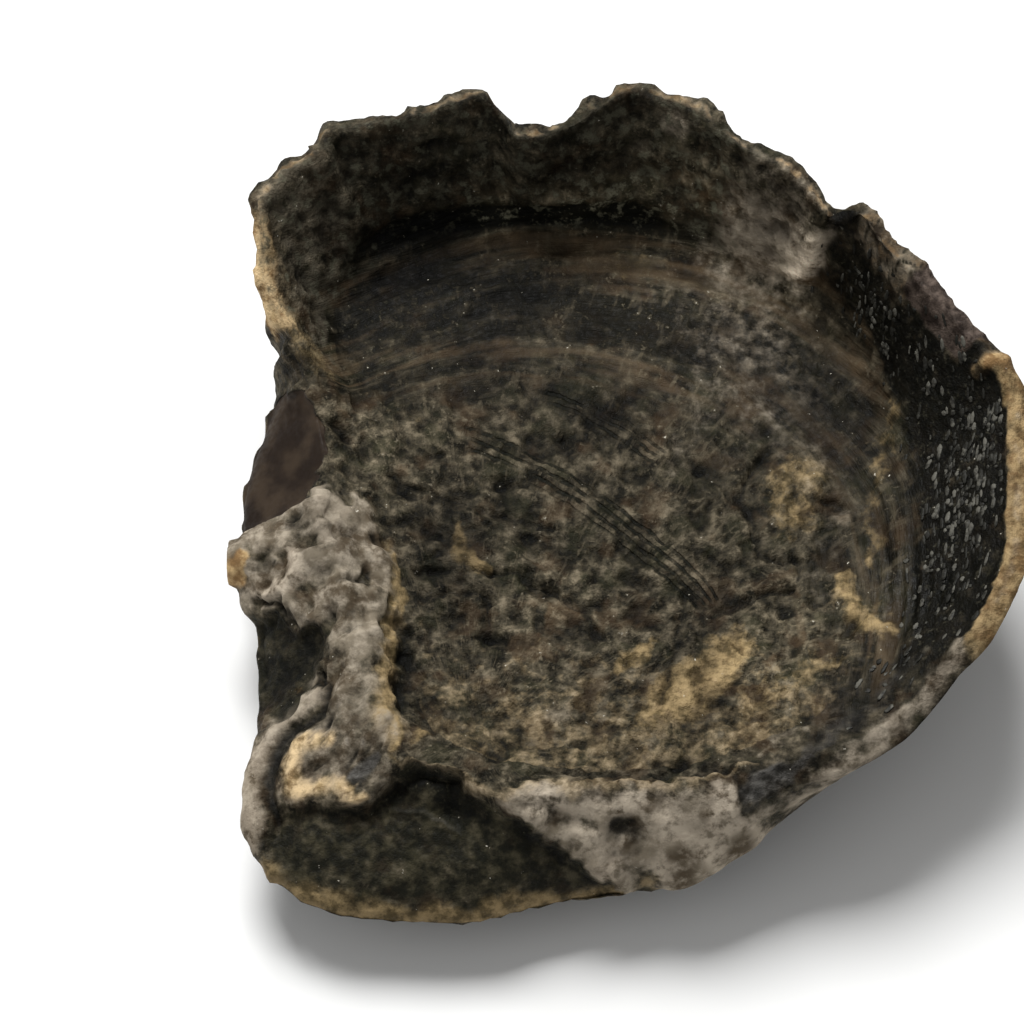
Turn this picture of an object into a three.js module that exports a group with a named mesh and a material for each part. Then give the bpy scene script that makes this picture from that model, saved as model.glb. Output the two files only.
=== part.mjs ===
// A brachiopod fossil: one dish-shaped valve of a large shell, turned to dark stone in one piece.
//
// It lies on the swollen side, on the patch that wear has made flat, with the hollow side up.
// The hollow has a broad floor, a steep wall at the far side, a flaring wall on the right and a
// low broken ridge on the left. The beak swells out below the hinge line at the near left.
//
// Sizes are in millimetres and +Z is up. The origin lies on the ground, under the middle of the
// box around the shell. +Y points to the tall far rim, and the hinge line faces -Y.
//
// The surface is drawn by rings around one upright line, the growth centre. Each ring is a list
// of stations: a bearing in degrees, counted from +X towards +Y, the reach out from the growth
// centre, and the height. The rings are joined by smooth profiles from the hollow to the base.

import * as THREE from "three";

// ---------------------------------------------------------------------------------------------
// Driving sizes
// ---------------------------------------------------------------------------------------------

const GROWTH_CENTRE = new THREE.Vector2(2.78, 0.28);
const FLOOR_HEIGHT = 12.4; // the deepest point of the hollow's floor
const WORN_DEPTH = 0.5; // how much wear has taken off the lowest point of the swollen side
const GRID = 24; // squares along each side of the floor's grid and of the base's grid
const WALL_STEPS = 5; // rows of faces from the foot of the inner wall to the crest of the rim
const LIP_STEPS = 2; // rows across the broken lip
const FLANK_STEPS = 4; // rows from the lip down to the widest part of the outside
const BELLY_STEPS = 4; // rows from the widest part in to the belly
const KEEL_STEPS = 3; // rows from the belly to the edge of the base

// The foot of the inner wall, which is also the edge of the floor.
const WALL_FOOT = [
  [0, 21.4, 12.6],
  [15, 22.4, 12.6],
  [35, 25.0, 12.7],
  [56, 27.0, 12.5],
  [73, 28.4, 12.2],
  [92, 30.2, 12.0],
  [116, 33.6, 12.0],
  [130, 36.6, 12.2],
  [143, 36.4, 12.8],
  [151, 33.5, 13.4],
  [160, 29.0, 13.8],
  [172, 26.6, 14.0],
  [190, 25.2, 13.6],
  [205, 25.2, 13.2],
  [218, 27.6, 13.0],
  [232, 30.4, 13.4],
  [248, 28.8, 13.8],
  [268, 26.8, 13.8],
  [285, 26.2, 13.8],
  [300, 26.0, 13.8],
  [315, 25.2, 13.6],
  [330, 24.2, 13.2],
  [345, 22.4, 12.8],
];

// How softly the floor turns up into the wall: a bearing, then the radius-like softness.
const FOOT_SOFTNESS = [
  [0, 2.4],
  [40, 1.9],
  [70, 1.1],
  [130, 0.9],
  [160, 0.8],
  [210, 0.6],
  [270, 0.7],
  [315, 1.6],
  [340, 2.2],
];

// The crest of the rim, with its notches, its tooth and the step at the far left.
const RIM_CREST = [
  [0, 31.2, 22.8],
  [10, 31.9, 24.0],
  [17, 30.8, 25.2],
  [30, 29.1, 26.0],
  [42, 28.7, 26.6],
  [51, 29.7, 27.0],
  [56, 28.7, 25.4],
  [64, 30.3, 26.5],
  [74, 31.3, 27.0],
  [84, 34.7, 27.2],
  [93, 36.3, 27.5],
  [102, 35.0, 26.5],
  [106, 34.4, 25.6],
  [110.5, 35.2, 25.2],
  [113, 39.8, 26.8],
  [117, 39.9, 26.8],
  [121, 40.7, 25.9],
  [127, 42.6, 25.5],
  [132, 44.6, 25.0],
  [134.5, 43.4, 24.7],
  [138, 44.5, 24.5],
  [143, 44.5, 24.0],
  [147, 42.3, 22.3],
  [151, 40.5, 20.6],
  [155, 36.1, 18.0],
  [160, 33.3, 16.4],
  [165, 31.8, 15.6],
  [178, 29.6, 15.5],
  [186, 30.4, 16.0],
  [194, 29.8, 16.4],
  [202, 29.6, 16.0],
  [210, 30.2, 15.7],
  [218, 31.8, 15.5],
  [232, 34.4, 15.0],
  [240, 32.6, 15.0],
  [248, 32.4, 15.0],
  [256, 30.2, 15.2],
  [268, 29.4, 15.2],
  [281, 29.2, 15.2],
  [291, 29.0, 15.6],
  [301, 30.2, 16.2],
  [312, 31.1, 17.0],
  [321, 31.1, 18.5],
  [330, 31.9, 20.5],
  [340, 32.1, 22.0],
  [350, 31.3, 22.6],
];

// The broken lip outside the crest: a bearing, the extra reach, and the drop below the crest.
const LIP = [
  [0, 1.8, 0.5],
  [20, 1.2, 0.6],
  [50, 1.2, 0.5],
  [90, 1.2, 0.5],
  [140, 1.1, 0.6],
  [155, 1.2, 1.0],
  [165, 2.0, 1.6],
  [178, 2.4, 1.9],
  [188, 3.6, 1.6],
  [205, 3.2, 1.8],
  [213, 4.6, 2.2],
  [219, 7.6, 2.6],
  [225, 7.0, 2.9],
  [231, 2.4, 2.2],
  [250, 1.8, 2.0],
  [275, 2.2, 1.6],
  [300, 1.8, 1.2],
  [330, 1.6, 0.7],
];

// The widest part of the outside, with the nub on the left and the swollen beak at the near left.
const FLANK = [
  [0, 27.5, 9.0],
  [30, 27.5, 9.5],
  [60, 31.0, 9.5],
  [92, 33.5, 9.5],
  [120, 37.0, 9.5],
  [140, 40.0, 10.0],
  [155, 37.4, 9.5],
  [163, 36.9, 9.5],
  [170, 37.3, 9.5],
  [178, 37.6, 9.5],
  [183, 37.3, 9.5],
  [185, 38.3, 10.2],
  [187.5, 39.0, 11.0],
  [190, 38.2, 10.2],
  [194, 37.4, 9.2],
  [204, 39.0, 8.5],
  [211, 41.6, 8.5],
  [214, 43.4, 8.5],
  [220, 46.9, 8.0],
  [227, 48.0, 7.4],
  [240, 43.7, 6.8],
  [248, 40.6, 6.5],
  [254, 37.6, 6.4],
  [262, 35.6, 6.6],
  [275, 34.4, 7.0],
  [283, 32.6, 7.6],
  [292, 30.8, 8.4],
  [305, 29.2, 9.2],
  [325, 28.2, 9.5],
  [345, 28.0, 9.0],
];

// The belly, halfway under the outside.
const BELLY = [
  [0, 20.5, 3.2],
  [60, 24.0, 3.4],
  [92, 26.0, 3.4],
  [130, 30.0, 3.6],
  [160, 30.0, 3.6],
  [185, 31.0, 3.4],
  [205, 33.0, 3.2],
  [222, 38.0, 2.8],
  [240, 35.5, 2.6],
  [262, 29.5, 2.8],
  [290, 25.0, 3.0],
  [325, 22.0, 3.2],
];

// The edge of the base, just clear of the ground.
const KEEL = [
  [0, 10.5, 0.6],
  [90, 14.0, 0.6],
  [180, 20.0, 0.6],
  [225, 21.5, 0.6],
  [270, 14.0, 0.6],
];

// ---------------------------------------------------------------------------------------------
// Rings: smooth curves through the stations, with no overshoot between them
// ---------------------------------------------------------------------------------------------

// The slope at a station of a curve that never swings past its stations.
function stationSlope(gapBefore, gapAfter, riseBefore, riseAfter) {
  if (riseBefore * riseAfter <= 0) return 0;
  const before = 2 * gapAfter + gapBefore;
  const after = gapAfter + 2 * gapBefore;
  return (before + after) / (before / riseBefore + after / riseAfter);
}

// One column of a station list as a function of bearing, closed after a full turn.
function aroundTheShell(stations, column) {
  const count = stations.length;
  const turn = (index) => Math.floor(index / count) * 360;
  const wrap = (index) => ((index % count) + count) % count;
  const bearingAt = (index) => stations[wrap(index)][0] + turn(index);
  const valueAt = (index) => stations[wrap(index)][column];
  const gapAt = (index) => bearingAt(index + 1) - bearingAt(index);
  const riseAt = (index) => (valueAt(index + 1) - valueAt(index)) / gapAt(index);
  const slopeAt = (index) =>
    stationSlope(gapAt(index - 1), gapAt(index), riseAt(index - 1), riseAt(index));

  return (bearing) => {
    const angle = ((bearing % 360) + 360) % 360;
    let index = count - 1;
    while (index > 0 && stations[index][0] > angle) index -= 1;
    if (stations[index][0] > angle) index = -1;
    const gap = gapAt(index);
    const t = (angle - bearingAt(index)) / gap;
    const startShare = 2 * t ** 3 - 3 * t ** 2 + 1;
    const startPull = (t ** 3 - 2 * t ** 2 + t) * gap * slopeAt(index);
    const endPull = (t ** 3 - t ** 2) * gap * slopeAt(index + 1);
    return startShare * valueAt(index) + startPull + (1 - startShare) * valueAt(index + 1) + endPull;
  };
}

// A ring gives the reach and the height at any bearing, as a two-dimensional point.
function ring(stations) {
  const reach = aroundTheShell(stations, 1);
  const height = aroundTheShell(stations, 2);
  return (bearing) => new THREE.Vector2(reach(bearing), height(bearing));
}

const wallFoot = ring(WALL_FOOT);
const footSoftness = aroundTheShell(FOOT_SOFTNESS, 1);
const rimCrest = ring(RIM_CREST);
const lipOffset = ring(LIP);
const flank = ring(FLANK);
const belly = ring(BELLY);
const keel = ring(KEEL);

// ---------------------------------------------------------------------------------------------
// The hollow, the outside and the base as heights and profiles
// ---------------------------------------------------------------------------------------------

// The height of the inside of the shell. The dished floor and the sloping wall meet in a soft
// turn, so that no crease runs round the foot of the wall.
function hollowHeight(bearing, reach) {
  const foot = wallFoot(bearing);
  const crest = rimCrest(bearing);
  const softness = footSoftness(bearing);
  const outward = Math.min(reach / foot.x, 1);
  const floor = FLOOR_HEIGHT + (foot.y - FLOOR_HEIGHT) * outward ** 2;
  const wall = foot.y + ((crest.y - foot.y) * (reach - foot.x)) / (crest.x - foot.x);
  return floor + softness * Math.log1p(Math.exp((wall - floor) / softness));
}

// The crest as the wall really reaches it, after the soft turn at its foot.
function crestPoint(bearing) {
  const reach = rimCrest(bearing).x;
  return new THREE.Vector2(reach, hollowHeight(bearing, reach));
}

function lipPoint(bearing) {
  const crest = crestPoint(bearing);
  const offset = lipOffset(bearing);
  return new THREE.Vector2(crest.x + offset.x, crest.y - offset.y);
}

// The middle of the base is the deepest point, straight below the growth centre.
function underKeel(bearing) {
  const edge = keel(bearing);
  return new THREE.Vector2(edge.x * 0.4, 0);
}

function baseHeight(bearing, outward) {
  return -WORN_DEPTH + (keel(bearing).y + WORN_DEPTH) * outward ** 2;
}

// A smooth profile from b to c that leaves b in line with a and arrives at c in line with d.
function profile(a, b, c, d) {
  return (t) => new THREE.Vector2(
    THREE.MathUtils.clamp(curve(a.x, b.x, c.x, d.x, t), 0, Infinity),
    curve(a.y, b.y, c.y, d.y, t),
  );
}

function curve(a, b, c, d, t) {
  const linear = (c - a) * t;
  const square = (2 * a - 5 * b + 4 * c - d) * t ** 2;
  const cube = (3 * b - a - 3 * c + d) * t ** 3;
  return b + (linear + square + cube) / 2;
}

// ---------------------------------------------------------------------------------------------
// The mesh: a grid for the floor, rows of faces over the rim and down the outside, and a grid
// for the base
// ---------------------------------------------------------------------------------------------

const BEARINGS = 4 * GRID;
const bearings = Array.from({ length: BEARINGS }, (_, step) => (step * 360) / BEARINGS);
const positions = [];
const triangles = [];

// Adds a point of the surface and gives its number. Wear has cut off what would lie below the
// ground, which leaves the flat patch that the fossil rests on.
function addPoint(bearing, reach, height) {
  const angle = THREE.MathUtils.degToRad(bearing);
  positions.push(GROWTH_CENTRE.x + reach * Math.cos(angle));
  positions.push(GROWTH_CENTRE.y + reach * Math.sin(angle));
  positions.push(Math.max(height, 0));
  return positions.length / 3 - 1;
}

function addQuad(a, b, c, d) {
  triangles.push(a, b, c, a, c, d);
}

// A square grid rounded into a disc: the bearing, and how far out the point lies from 0 to 1.
function gridToDisc(column, row) {
  const x = (2 * column) / GRID - 1;
  const y = (2 * row) / GRID - 1;
  const outward = Math.max(Math.abs(x), Math.abs(y));
  if (outward === 0) return { bearing: 0, outward };
  let bearing = 45 * (Math.abs(x) >= Math.abs(y) ? y / x : 2 - x / y);
  if (Math.abs(x) >= Math.abs(y) ? x < 0 : y < 0) bearing += 180;
  return { bearing, outward };
}

// The columns and rows round the edge of a grid, in order of bearing from +X.
function gridEdge() {
  const half = GRID / 2;
  const edge = [];
  for (let row = half; row < GRID; row += 1) edge.push([GRID, row]);
  for (let column = GRID; column > 0; column -= 1) edge.push([column, GRID]);
  for (let row = GRID; row > 0; row -= 1) edge.push([0, row]);
  for (let column = 0; column < GRID; column += 1) edge.push([column, 0]);
  for (let row = 0; row < half; row += 1) edge.push([GRID, row]);
  return edge;
}

// A grid of faces that fills one end of the shell. Its edge uses the points in edgeRow when
// they are given, and its inner points come from place(bearing, outward).
function addGrid(place, facesUp, edgeRow) {
  const numbers = Array.from({ length: GRID + 1 }, () => new Array(GRID + 1));
  if (edgeRow) {
    gridEdge().forEach(([column, row], step) => {
      numbers[column][row] = edgeRow[step];
    });
  }
  for (let column = 0; column <= GRID; column += 1) {
    for (let row = 0; row <= GRID; row += 1) {
      if (numbers[column][row] !== undefined) continue;
      const { bearing, outward } = gridToDisc(column, row);
      const point = place(bearing, outward);
      numbers[column][row] = addPoint(bearing, point.x, point.y);
    }
  }
  for (let column = 0; column < GRID; column += 1) {
    for (let row = 0; row < GRID; row += 1) {
      const a = numbers[column][row];
      const b = numbers[column + 1][row];
      const c = numbers[column + 1][row + 1];
      const d = numbers[column][row + 1];
      if (facesUp) addQuad(a, b, c, d);
      else addQuad(a, d, c, b);
    }
  }
  return gridEdge().map(([column, row]) => numbers[column][row]);
}

// Rows of faces that carry on from the last row: profileAt(bearing) gives the profile to follow.
function addRows(lastRow, steps, profileAt) {
  const profiles = bearings.map(profileAt);
  let inner = lastRow;
  for (let step = 1; step <= steps; step += 1) {
    const outer = bearings.map((bearing, index) => {
      const point = profiles[index](step / steps);
      return addPoint(bearing, point.x, point.y);
    });
    for (let index = 0; index < BEARINGS; index += 1) {
      const next = (index + 1) % BEARINGS;
      addQuad(inner[index], outer[index], outer[next], inner[next]);
    }
    inner = outer;
  }
  return inner;
}

// The floor of the hollow.
function floorPoint(bearing, outward) {
  const reach = outward * wallFoot(bearing).x;
  return new THREE.Vector2(reach, hollowHeight(bearing, reach));
}

// The inner wall, from its foot up to the crest.
function wallProfile(bearing) {
  const foot = wallFoot(bearing).x;
  const crest = rimCrest(bearing).x;
  return (t) => {
    const reach = THREE.MathUtils.lerp(foot, crest, t);
    return new THREE.Vector2(reach, hollowHeight(bearing, reach));
  };
}

// The broken lip is nearly straight across.
function lipProfile(bearing) {
  const crest = crestPoint(bearing);
  const lip = lipPoint(bearing);
  return (t) => crest.clone().lerp(lip, t);
}

// The middle of the base.
function basePoint(bearing, outward) {
  return new THREE.Vector2(outward * keel(bearing).x, baseHeight(bearing, outward));
}

let row = addGrid(floorPoint, true);
row = addRows(row, WALL_STEPS, wallProfile);
row = addRows(row, LIP_STEPS, lipProfile);
row = addRows(row, FLANK_STEPS, (bearing) =>
  profile(crestPoint(bearing), lipPoint(bearing), flank(bearing), belly(bearing)));
row = addRows(row, BELLY_STEPS, (bearing) =>
  profile(lipPoint(bearing), flank(bearing), belly(bearing), keel(bearing)));
row = addRows(row, KEEL_STEPS, (bearing) =>
  profile(flank(bearing), belly(bearing), keel(bearing), underKeel(bearing)));
addGrid(basePoint, false, row);

// ---------------------------------------------------------------------------------------------
// The finished object: one solid of dark fossil stone
// ---------------------------------------------------------------------------------------------

const shellGeometry = new THREE.BufferGeometry();
shellGeometry.setAttribute("position", new THREE.Float32BufferAttribute(positions, 3));
shellGeometry.setIndex(triangles);
shellGeometry.computeVertexNormals();

const fossilStone = new THREE.MeshStandardMaterial({
  color: 0x4a443b,
  roughness: 0.62,
  metalness: 0,
});

const fossilShell = new THREE.Mesh(shellGeometry, fossilStone);
fossilShell.name = "fossil_shell";

const brachiopodFossil = new THREE.Group();
brachiopodFossil.add(fossilShell);

export default brachiopodFossil;
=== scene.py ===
import math

import bpy
import numpy as np
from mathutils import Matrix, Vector


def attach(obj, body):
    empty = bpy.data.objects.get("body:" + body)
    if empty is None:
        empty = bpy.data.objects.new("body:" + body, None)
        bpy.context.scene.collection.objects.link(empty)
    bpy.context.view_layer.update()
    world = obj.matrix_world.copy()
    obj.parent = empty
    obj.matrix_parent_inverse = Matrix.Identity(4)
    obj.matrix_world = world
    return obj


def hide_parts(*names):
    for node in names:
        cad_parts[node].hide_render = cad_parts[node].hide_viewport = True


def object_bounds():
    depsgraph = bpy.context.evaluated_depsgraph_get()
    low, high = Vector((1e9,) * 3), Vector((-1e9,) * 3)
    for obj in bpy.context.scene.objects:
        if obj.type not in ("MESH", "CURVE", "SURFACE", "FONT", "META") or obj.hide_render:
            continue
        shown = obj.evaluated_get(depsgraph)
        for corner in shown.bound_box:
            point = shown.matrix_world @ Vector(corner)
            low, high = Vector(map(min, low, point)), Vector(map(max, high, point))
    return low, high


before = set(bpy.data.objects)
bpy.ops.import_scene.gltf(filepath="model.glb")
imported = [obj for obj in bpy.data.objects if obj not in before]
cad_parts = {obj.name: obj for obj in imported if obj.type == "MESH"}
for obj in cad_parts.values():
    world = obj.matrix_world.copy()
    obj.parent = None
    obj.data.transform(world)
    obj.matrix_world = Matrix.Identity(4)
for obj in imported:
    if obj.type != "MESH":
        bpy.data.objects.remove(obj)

cad_low, cad_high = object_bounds()
MM = 0.001

# ---------------------------------------------------------------------------------------------
# The camera. It looks down into the hollow from the hinge side, 60 degrees above the ground,
# and the fossil lies a little to the right of the middle of its view.
# ---------------------------------------------------------------------------------------------

VIEW_HEIGHT = math.radians(60)
VIEW_DISTANCE = 330 * MM
AIM_OFFSET = Vector((-10.08, -0.46, 0)) * MM
LENS = 127.6

aim = (cad_low + cad_high) / 2 + AIM_OFFSET
back = Vector((0, -math.cos(VIEW_HEIGHT), math.sin(VIEW_HEIGHT)))
camera_data = bpy.data.cameras.new("camera")
camera_data.lens = LENS
camera_data.sensor_width = 36
camera_data.clip_start = 10 * MM
camera_data.clip_end = 20
camera = bpy.data.objects.new("camera", camera_data)
camera.location = aim + back * VIEW_DISTANCE
camera.rotation_euler = (math.pi / 2 - VIEW_HEIGHT, 0, 0)
bpy.context.collection.objects.link(camera)
bpy.context.scene.camera = camera

# ---------------------------------------------------------------------------------------------
# The bare valve: one dished shell turned to dark stone, lying on its swollen side. It is drawn
# by rings round an upright line, in millimetres: a bearing from +X towards +Y, the reach out
# from that line, and the height. Smooth profiles join the rings from the hollow to the base.
# ---------------------------------------------------------------------------------------------

GROWTH_CENTRE = np.array((2.78, 0.28))
FLOOR_HEIGHT = 12.4
WORN_DEPTH = 0.5
GRID = 176
WALL_ROWS = 32
LIP_ROWS = 6
FLANK_ROWS = 36
BELLY_ROWS = 20
KEEL_ROWS = 8

WALL_FOOT = [
    (0, 21.4, 12.6), (15, 22.4, 12.6), (35, 25.0, 12.7), (56, 27.0, 12.5), (73, 28.4, 12.2),
    (92, 30.2, 12.0), (116, 33.6, 12.0), (130, 36.6, 12.2), (143, 36.4, 12.8), (151, 33.5, 13.4),
    (160, 29.0, 13.8), (172, 26.6, 14.0), (190, 25.2, 13.6), (205, 25.2, 13.2), (218, 27.6, 13.0),
    (232, 30.4, 13.4), (248, 28.8, 13.8), (268, 26.8, 13.8), (285, 26.2, 13.8), (300, 26.0, 13.8),
    (315, 25.2, 13.6), (330, 24.2, 13.2), (345, 22.4, 12.8),
]
FOOT_SOFTNESS = [
    (0, 2.4), (40, 1.9), (70, 1.1), (130, 0.9), (160, 0.8), (210, 0.6), (270, 0.7), (315, 1.6),
    (340, 2.2),
]
RIM_CREST = [
    (0, 31.2, 22.8), (10, 31.9, 24.0), (17, 30.8, 25.2), (30, 29.1, 26.0), (42, 28.7, 26.6),
    (51, 29.7, 27.0), (56, 28.7, 25.4), (64, 30.3, 26.5), (74, 31.3, 27.0), (84, 34.7, 27.2),
    (93, 36.3, 27.5), (97.5, 35.3, 27.0), (102, 34.3, 26.1), (106, 34.2, 25.5), (111, 35.3, 25.2),
    (112.4, 38.8, 26.6), (114, 39.7, 26.8), (117, 39.9, 26.8), (121, 40.7, 25.9), (127, 42.6, 25.5),
    (132, 44.6, 25.0), (134.5, 43.4, 24.7), (138, 44.5, 24.5), (143, 44.5, 24.0), (147, 42.3, 22.3),
    (151, 40.5, 20.6), (155, 36.1, 18.0), (160, 33.3, 16.4), (165, 31.8, 15.6), (178, 29.6, 15.5),
    (186, 30.4, 16.0), (194, 29.8, 16.4), (202, 29.6, 16.0), (210, 30.2, 15.7), (218, 31.8, 15.5),
    (232, 34.4, 15.0), (240, 32.6, 15.0), (248, 32.4, 15.0), (256, 30.2, 15.2), (268, 29.4, 15.2),
    (281, 29.2, 15.2), (291, 29.0, 15.6), (301, 30.2, 16.2), (312, 31.1, 17.0), (321, 31.1, 18.5),
    (330, 31.9, 20.5), (340, 32.1, 22.0), (350, 31.3, 22.6),
]
LIP = [
    (0, 1.8, 0.5), (20, 1.2, 0.6), (50, 1.2, 0.5), (90, 1.2, 0.5), (140, 1.1, 0.6), (155, 1.2, 1.0),
    (165, 2.0, 1.6), (178, 2.4, 1.9), (188, 3.6, 1.6), (205, 3.2, 1.8), (213, 4.6, 2.2),
    (219, 7.6, 2.6), (225, 7.0, 2.9), (231, 2.4, 2.2), (250, 1.8, 2.0), (275, 2.2, 1.6),
    (300, 1.8, 1.2), (330, 1.6, 0.7),
]
FLANK = [
    (0, 27.5, 9.0), (30, 27.5, 9.5), (60, 31.0, 9.5), (92, 33.5, 9.5), (120, 37.0, 9.5),
    (140, 40.0, 10.0), (155, 37.4, 9.5), (163, 36.9, 9.5), (170, 37.3, 9.5), (178, 37.6, 9.5),
    (183, 37.3, 9.5), (185, 38.3, 10.2), (187.5, 39.0, 11.0), (190, 38.2, 10.2), (194, 37.4, 9.2),
    (204, 39.0, 8.5), (211, 41.6, 8.5), (214, 43.4, 8.5), (220, 46.9, 8.0), (227, 48.0, 7.4),
    (240, 43.7, 6.8), (248, 40.6, 6.5), (254, 37.6, 6.4), (262, 35.6, 6.6), (275, 34.4, 7.0),
    (283, 32.6, 7.6), (292, 30.8, 8.4), (305, 29.2, 9.2), (325, 28.2, 9.5), (345, 28.0, 9.0),
]
BELLY = [
    (0, 20.5, 3.2), (60, 24.0, 3.4), (92, 26.0, 3.4), (130, 30.0, 3.6), (160, 30.0, 3.6),
    (185, 31.0, 3.4), (205, 33.0, 3.2), (222, 38.0, 2.8), (240, 35.5, 2.6), (262, 29.5, 2.8),
    (290, 25.0, 3.0), (325, 22.0, 3.2),
]
KEEL = [(0, 10.5, 0.6), (90, 14.0, 0.6), (180, 20.0, 0.6), (225, 21.5, 0.6), (270, 14.0, 0.6)]


def around(stations, column, bearings):
    """One column of a station list at the bearings, on a curve that never swings past a station."""
    angles = np.array([station[0] for station in stations], float)
    values = np.array([station[column] for station in stations], float)
    gaps = np.diff(np.append(angles, angles[0] + 360))
    rises = (np.roll(values, -1) - values) / gaps
    gap_before = np.roll(gaps, 1)
    rise_before = np.roll(rises, 1)
    same_way = rises * rise_before > 0
    rise_a = np.where(same_way, rise_before, 1)
    rise_b = np.where(same_way, rises, 1)
    share_a = 2 * gaps + gap_before
    share_b = gaps + 2 * gap_before
    slopes = np.where(same_way, (share_a + share_b) / (share_a / rise_a + share_b / rise_b), 0)
    turned = (bearings - angles[0]) % 360 + angles[0]
    here = np.searchsorted(angles, turned, side="right") - 1
    after = (here + 1) % len(angles)
    t = (turned - angles[here]) / gaps[here]
    start = 2 * t**3 - 3 * t**2 + 1
    pull = (t**3 - 2 * t**2 + t) * slopes[here] + (t**3 - t**2) * slopes[after]
    return start * values[here] + (1 - start) * values[after] + pull * gaps[here]


def ring(stations, bearings):
    """The reach and the height of a ring of stations at the bearings."""
    return np.stack([around(stations, 1, bearings), around(stations, 2, bearings)], axis=-1)


def hollow_height(bearings, reach):
    """How high the hollow lies: a nearly flat floor that bends softly up into the wall."""
    foot = ring(WALL_FOOT, bearings)
    crest = ring(RIM_CREST, bearings)
    softness = around(FOOT_SOFTNESS, 1, bearings)
    outward = np.minimum(reach / foot[..., 0], 1)
    floor = FLOOR_HEIGHT + (foot[..., 1] - FLOOR_HEIGHT) * outward**2
    slope = (crest[..., 1] - foot[..., 1]) / (crest[..., 0] - foot[..., 0])
    wall = foot[..., 1] + slope * (reach - foot[..., 0])
    return floor + softness * np.log1p(np.exp((wall - floor) / softness))


def profile(a, b, c, d, t):
    """A smooth path from b to c that leaves in line with a and arrives in line with d."""
    linear = (c - a) * t
    square = (2 * a - 5 * b + 4 * c - d) * t**2
    cube = (3 * b - a - 3 * c + d) * t**3
    return b + (linear + square + cube) / 2


def grid_points(size):
    """The bearing and outward share, 0 to 1, of each point of a square grid rounded into a disc."""
    steps = np.arange(size + 1) * 2 / size - 1
    x, y = np.meshgrid(steps, steps, indexing="ij")
    wide = np.abs(x) >= np.abs(y)
    safe_x = np.where(x == 0, 1, x)
    safe_y = np.where(y == 0, 1, y)
    bearing = 45 * np.where(wide, y / safe_x, 2 - x / safe_y)
    bearing += np.where(np.where(wide, x < 0, y < 0), 180, 0)
    return bearing.ravel(), np.maximum(np.abs(x), np.abs(y)).ravel()


def grid_edge(size):
    """The numbers of the points round a grid's edge, in order of bearing from +X."""
    half = size // 2
    edge = [(size, row) for row in range(half, size)]
    edge += [(column, size) for column in range(size, 0, -1)]
    edge += [(0, row) for row in range(size, 0, -1)]
    edge += [(column, 0) for column in range(size)]
    edge += [(size, row) for row in range(half)]
    return [column * (size + 1) + row for column, row in edge]


ring_bearings = np.arange(4 * GRID) * 360 / (4 * GRID)
half_bearings = ring_bearings[::2]
keel_bearings = ring_bearings[::4]

# Each row is its bearings, its points as reach and height, and the zone that it belongs to.
FLOOR, WALL, LIP_ZONE, FLANK_ZONE, BELLY_ZONE, KEEL_ZONE, BASE = range(7)
floor_bearings, floor_outward = grid_points(GRID)
floor_reach = floor_outward * around(WALL_FOOT, 1, floor_bearings)
floor_rows = np.stack([floor_reach, hollow_height(floor_bearings, floor_reach)], axis=-1)

foot_reach = around(WALL_FOOT, 1, ring_bearings)
crest_reach = around(RIM_CREST, 1, ring_bearings)
crest = np.stack([crest_reach, hollow_height(ring_bearings, crest_reach)], axis=-1)
lip_offset = ring(LIP, ring_bearings)
lip = crest + lip_offset * (1, -1)
flank = ring(FLANK, ring_bearings)
belly = ring(BELLY, ring_bearings)
keel = ring(KEEL, ring_bearings)
under_keel = np.stack([keel[:, 0] * 0.4, keel[:, 1] * 0], axis=-1)

rows = []
for step in range(1, WALL_ROWS + 1):
    reach = foot_reach + (crest_reach - foot_reach) * step / WALL_ROWS
    points = np.stack([reach, hollow_height(ring_bearings, reach)], axis=-1)
    rows.append((ring_bearings, points, WALL))
for step in range(1, LIP_ROWS + 1):
    rows.append((ring_bearings, crest + (lip - crest) * step / LIP_ROWS, LIP_ZONE))
for step in range(1, FLANK_ROWS + 1):
    points = profile(crest, lip, flank, belly, step / FLANK_ROWS)
    rows.append((ring_bearings, points, FLANK_ZONE))
for step in range(1, BELLY_ROWS + 1):
    points = profile(lip, flank, belly, keel, step / BELLY_ROWS)
    rows.append((half_bearings, points[::2], BELLY_ZONE))
for step in range(1, KEEL_ROWS + 1):
    points = profile(flank, belly, keel, under_keel, step / KEEL_ROWS)
    rows.append((keel_bearings, points[::4], KEEL_ZONE))

base_bearings, base_outward = grid_points(GRID // 4)
base_keel = ring(KEEL, base_bearings)
base_height = (base_keel[:, 1] + WORN_DEPTH) * base_outward**2 - WORN_DEPTH
base_rows = np.stack([base_outward * base_keel[:, 0], base_height], axis=-1)

bearing_parts = [floor_bearings]
point_parts = [floor_rows]
zone_parts = [np.full(len(floor_bearings), FLOOR)]
faces = []
for column in range(GRID):
    for row in range(GRID):
        a = column * (GRID + 1) + row
        b = a + GRID + 1
        faces.append((a, b, b + 1, a + 1))

last = grid_edge(GRID)
count = len(floor_bearings)
row_numbers = [last]
for bearings, points, zone in rows:
    now = list(range(count, count + len(bearings)))
    count += len(bearings)
    bearing_parts.append(bearings)
    point_parts.append(points)
    zone_parts.append(np.full(len(bearings), zone))
    for index in range(len(now)):
        after = (index + 1) % len(now)
        if len(last) == len(now):
            faces.append((last[index], now[index], now[after], last[after]))
        else:
            middle = last[2 * index + 1]
            faces.append((last[2 * index], now[index], middle))
            faces.append((middle, now[index], now[after]))
            faces.append((middle, now[after], last[2 * after]))
    row_numbers.append(now)
    last = now

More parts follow.
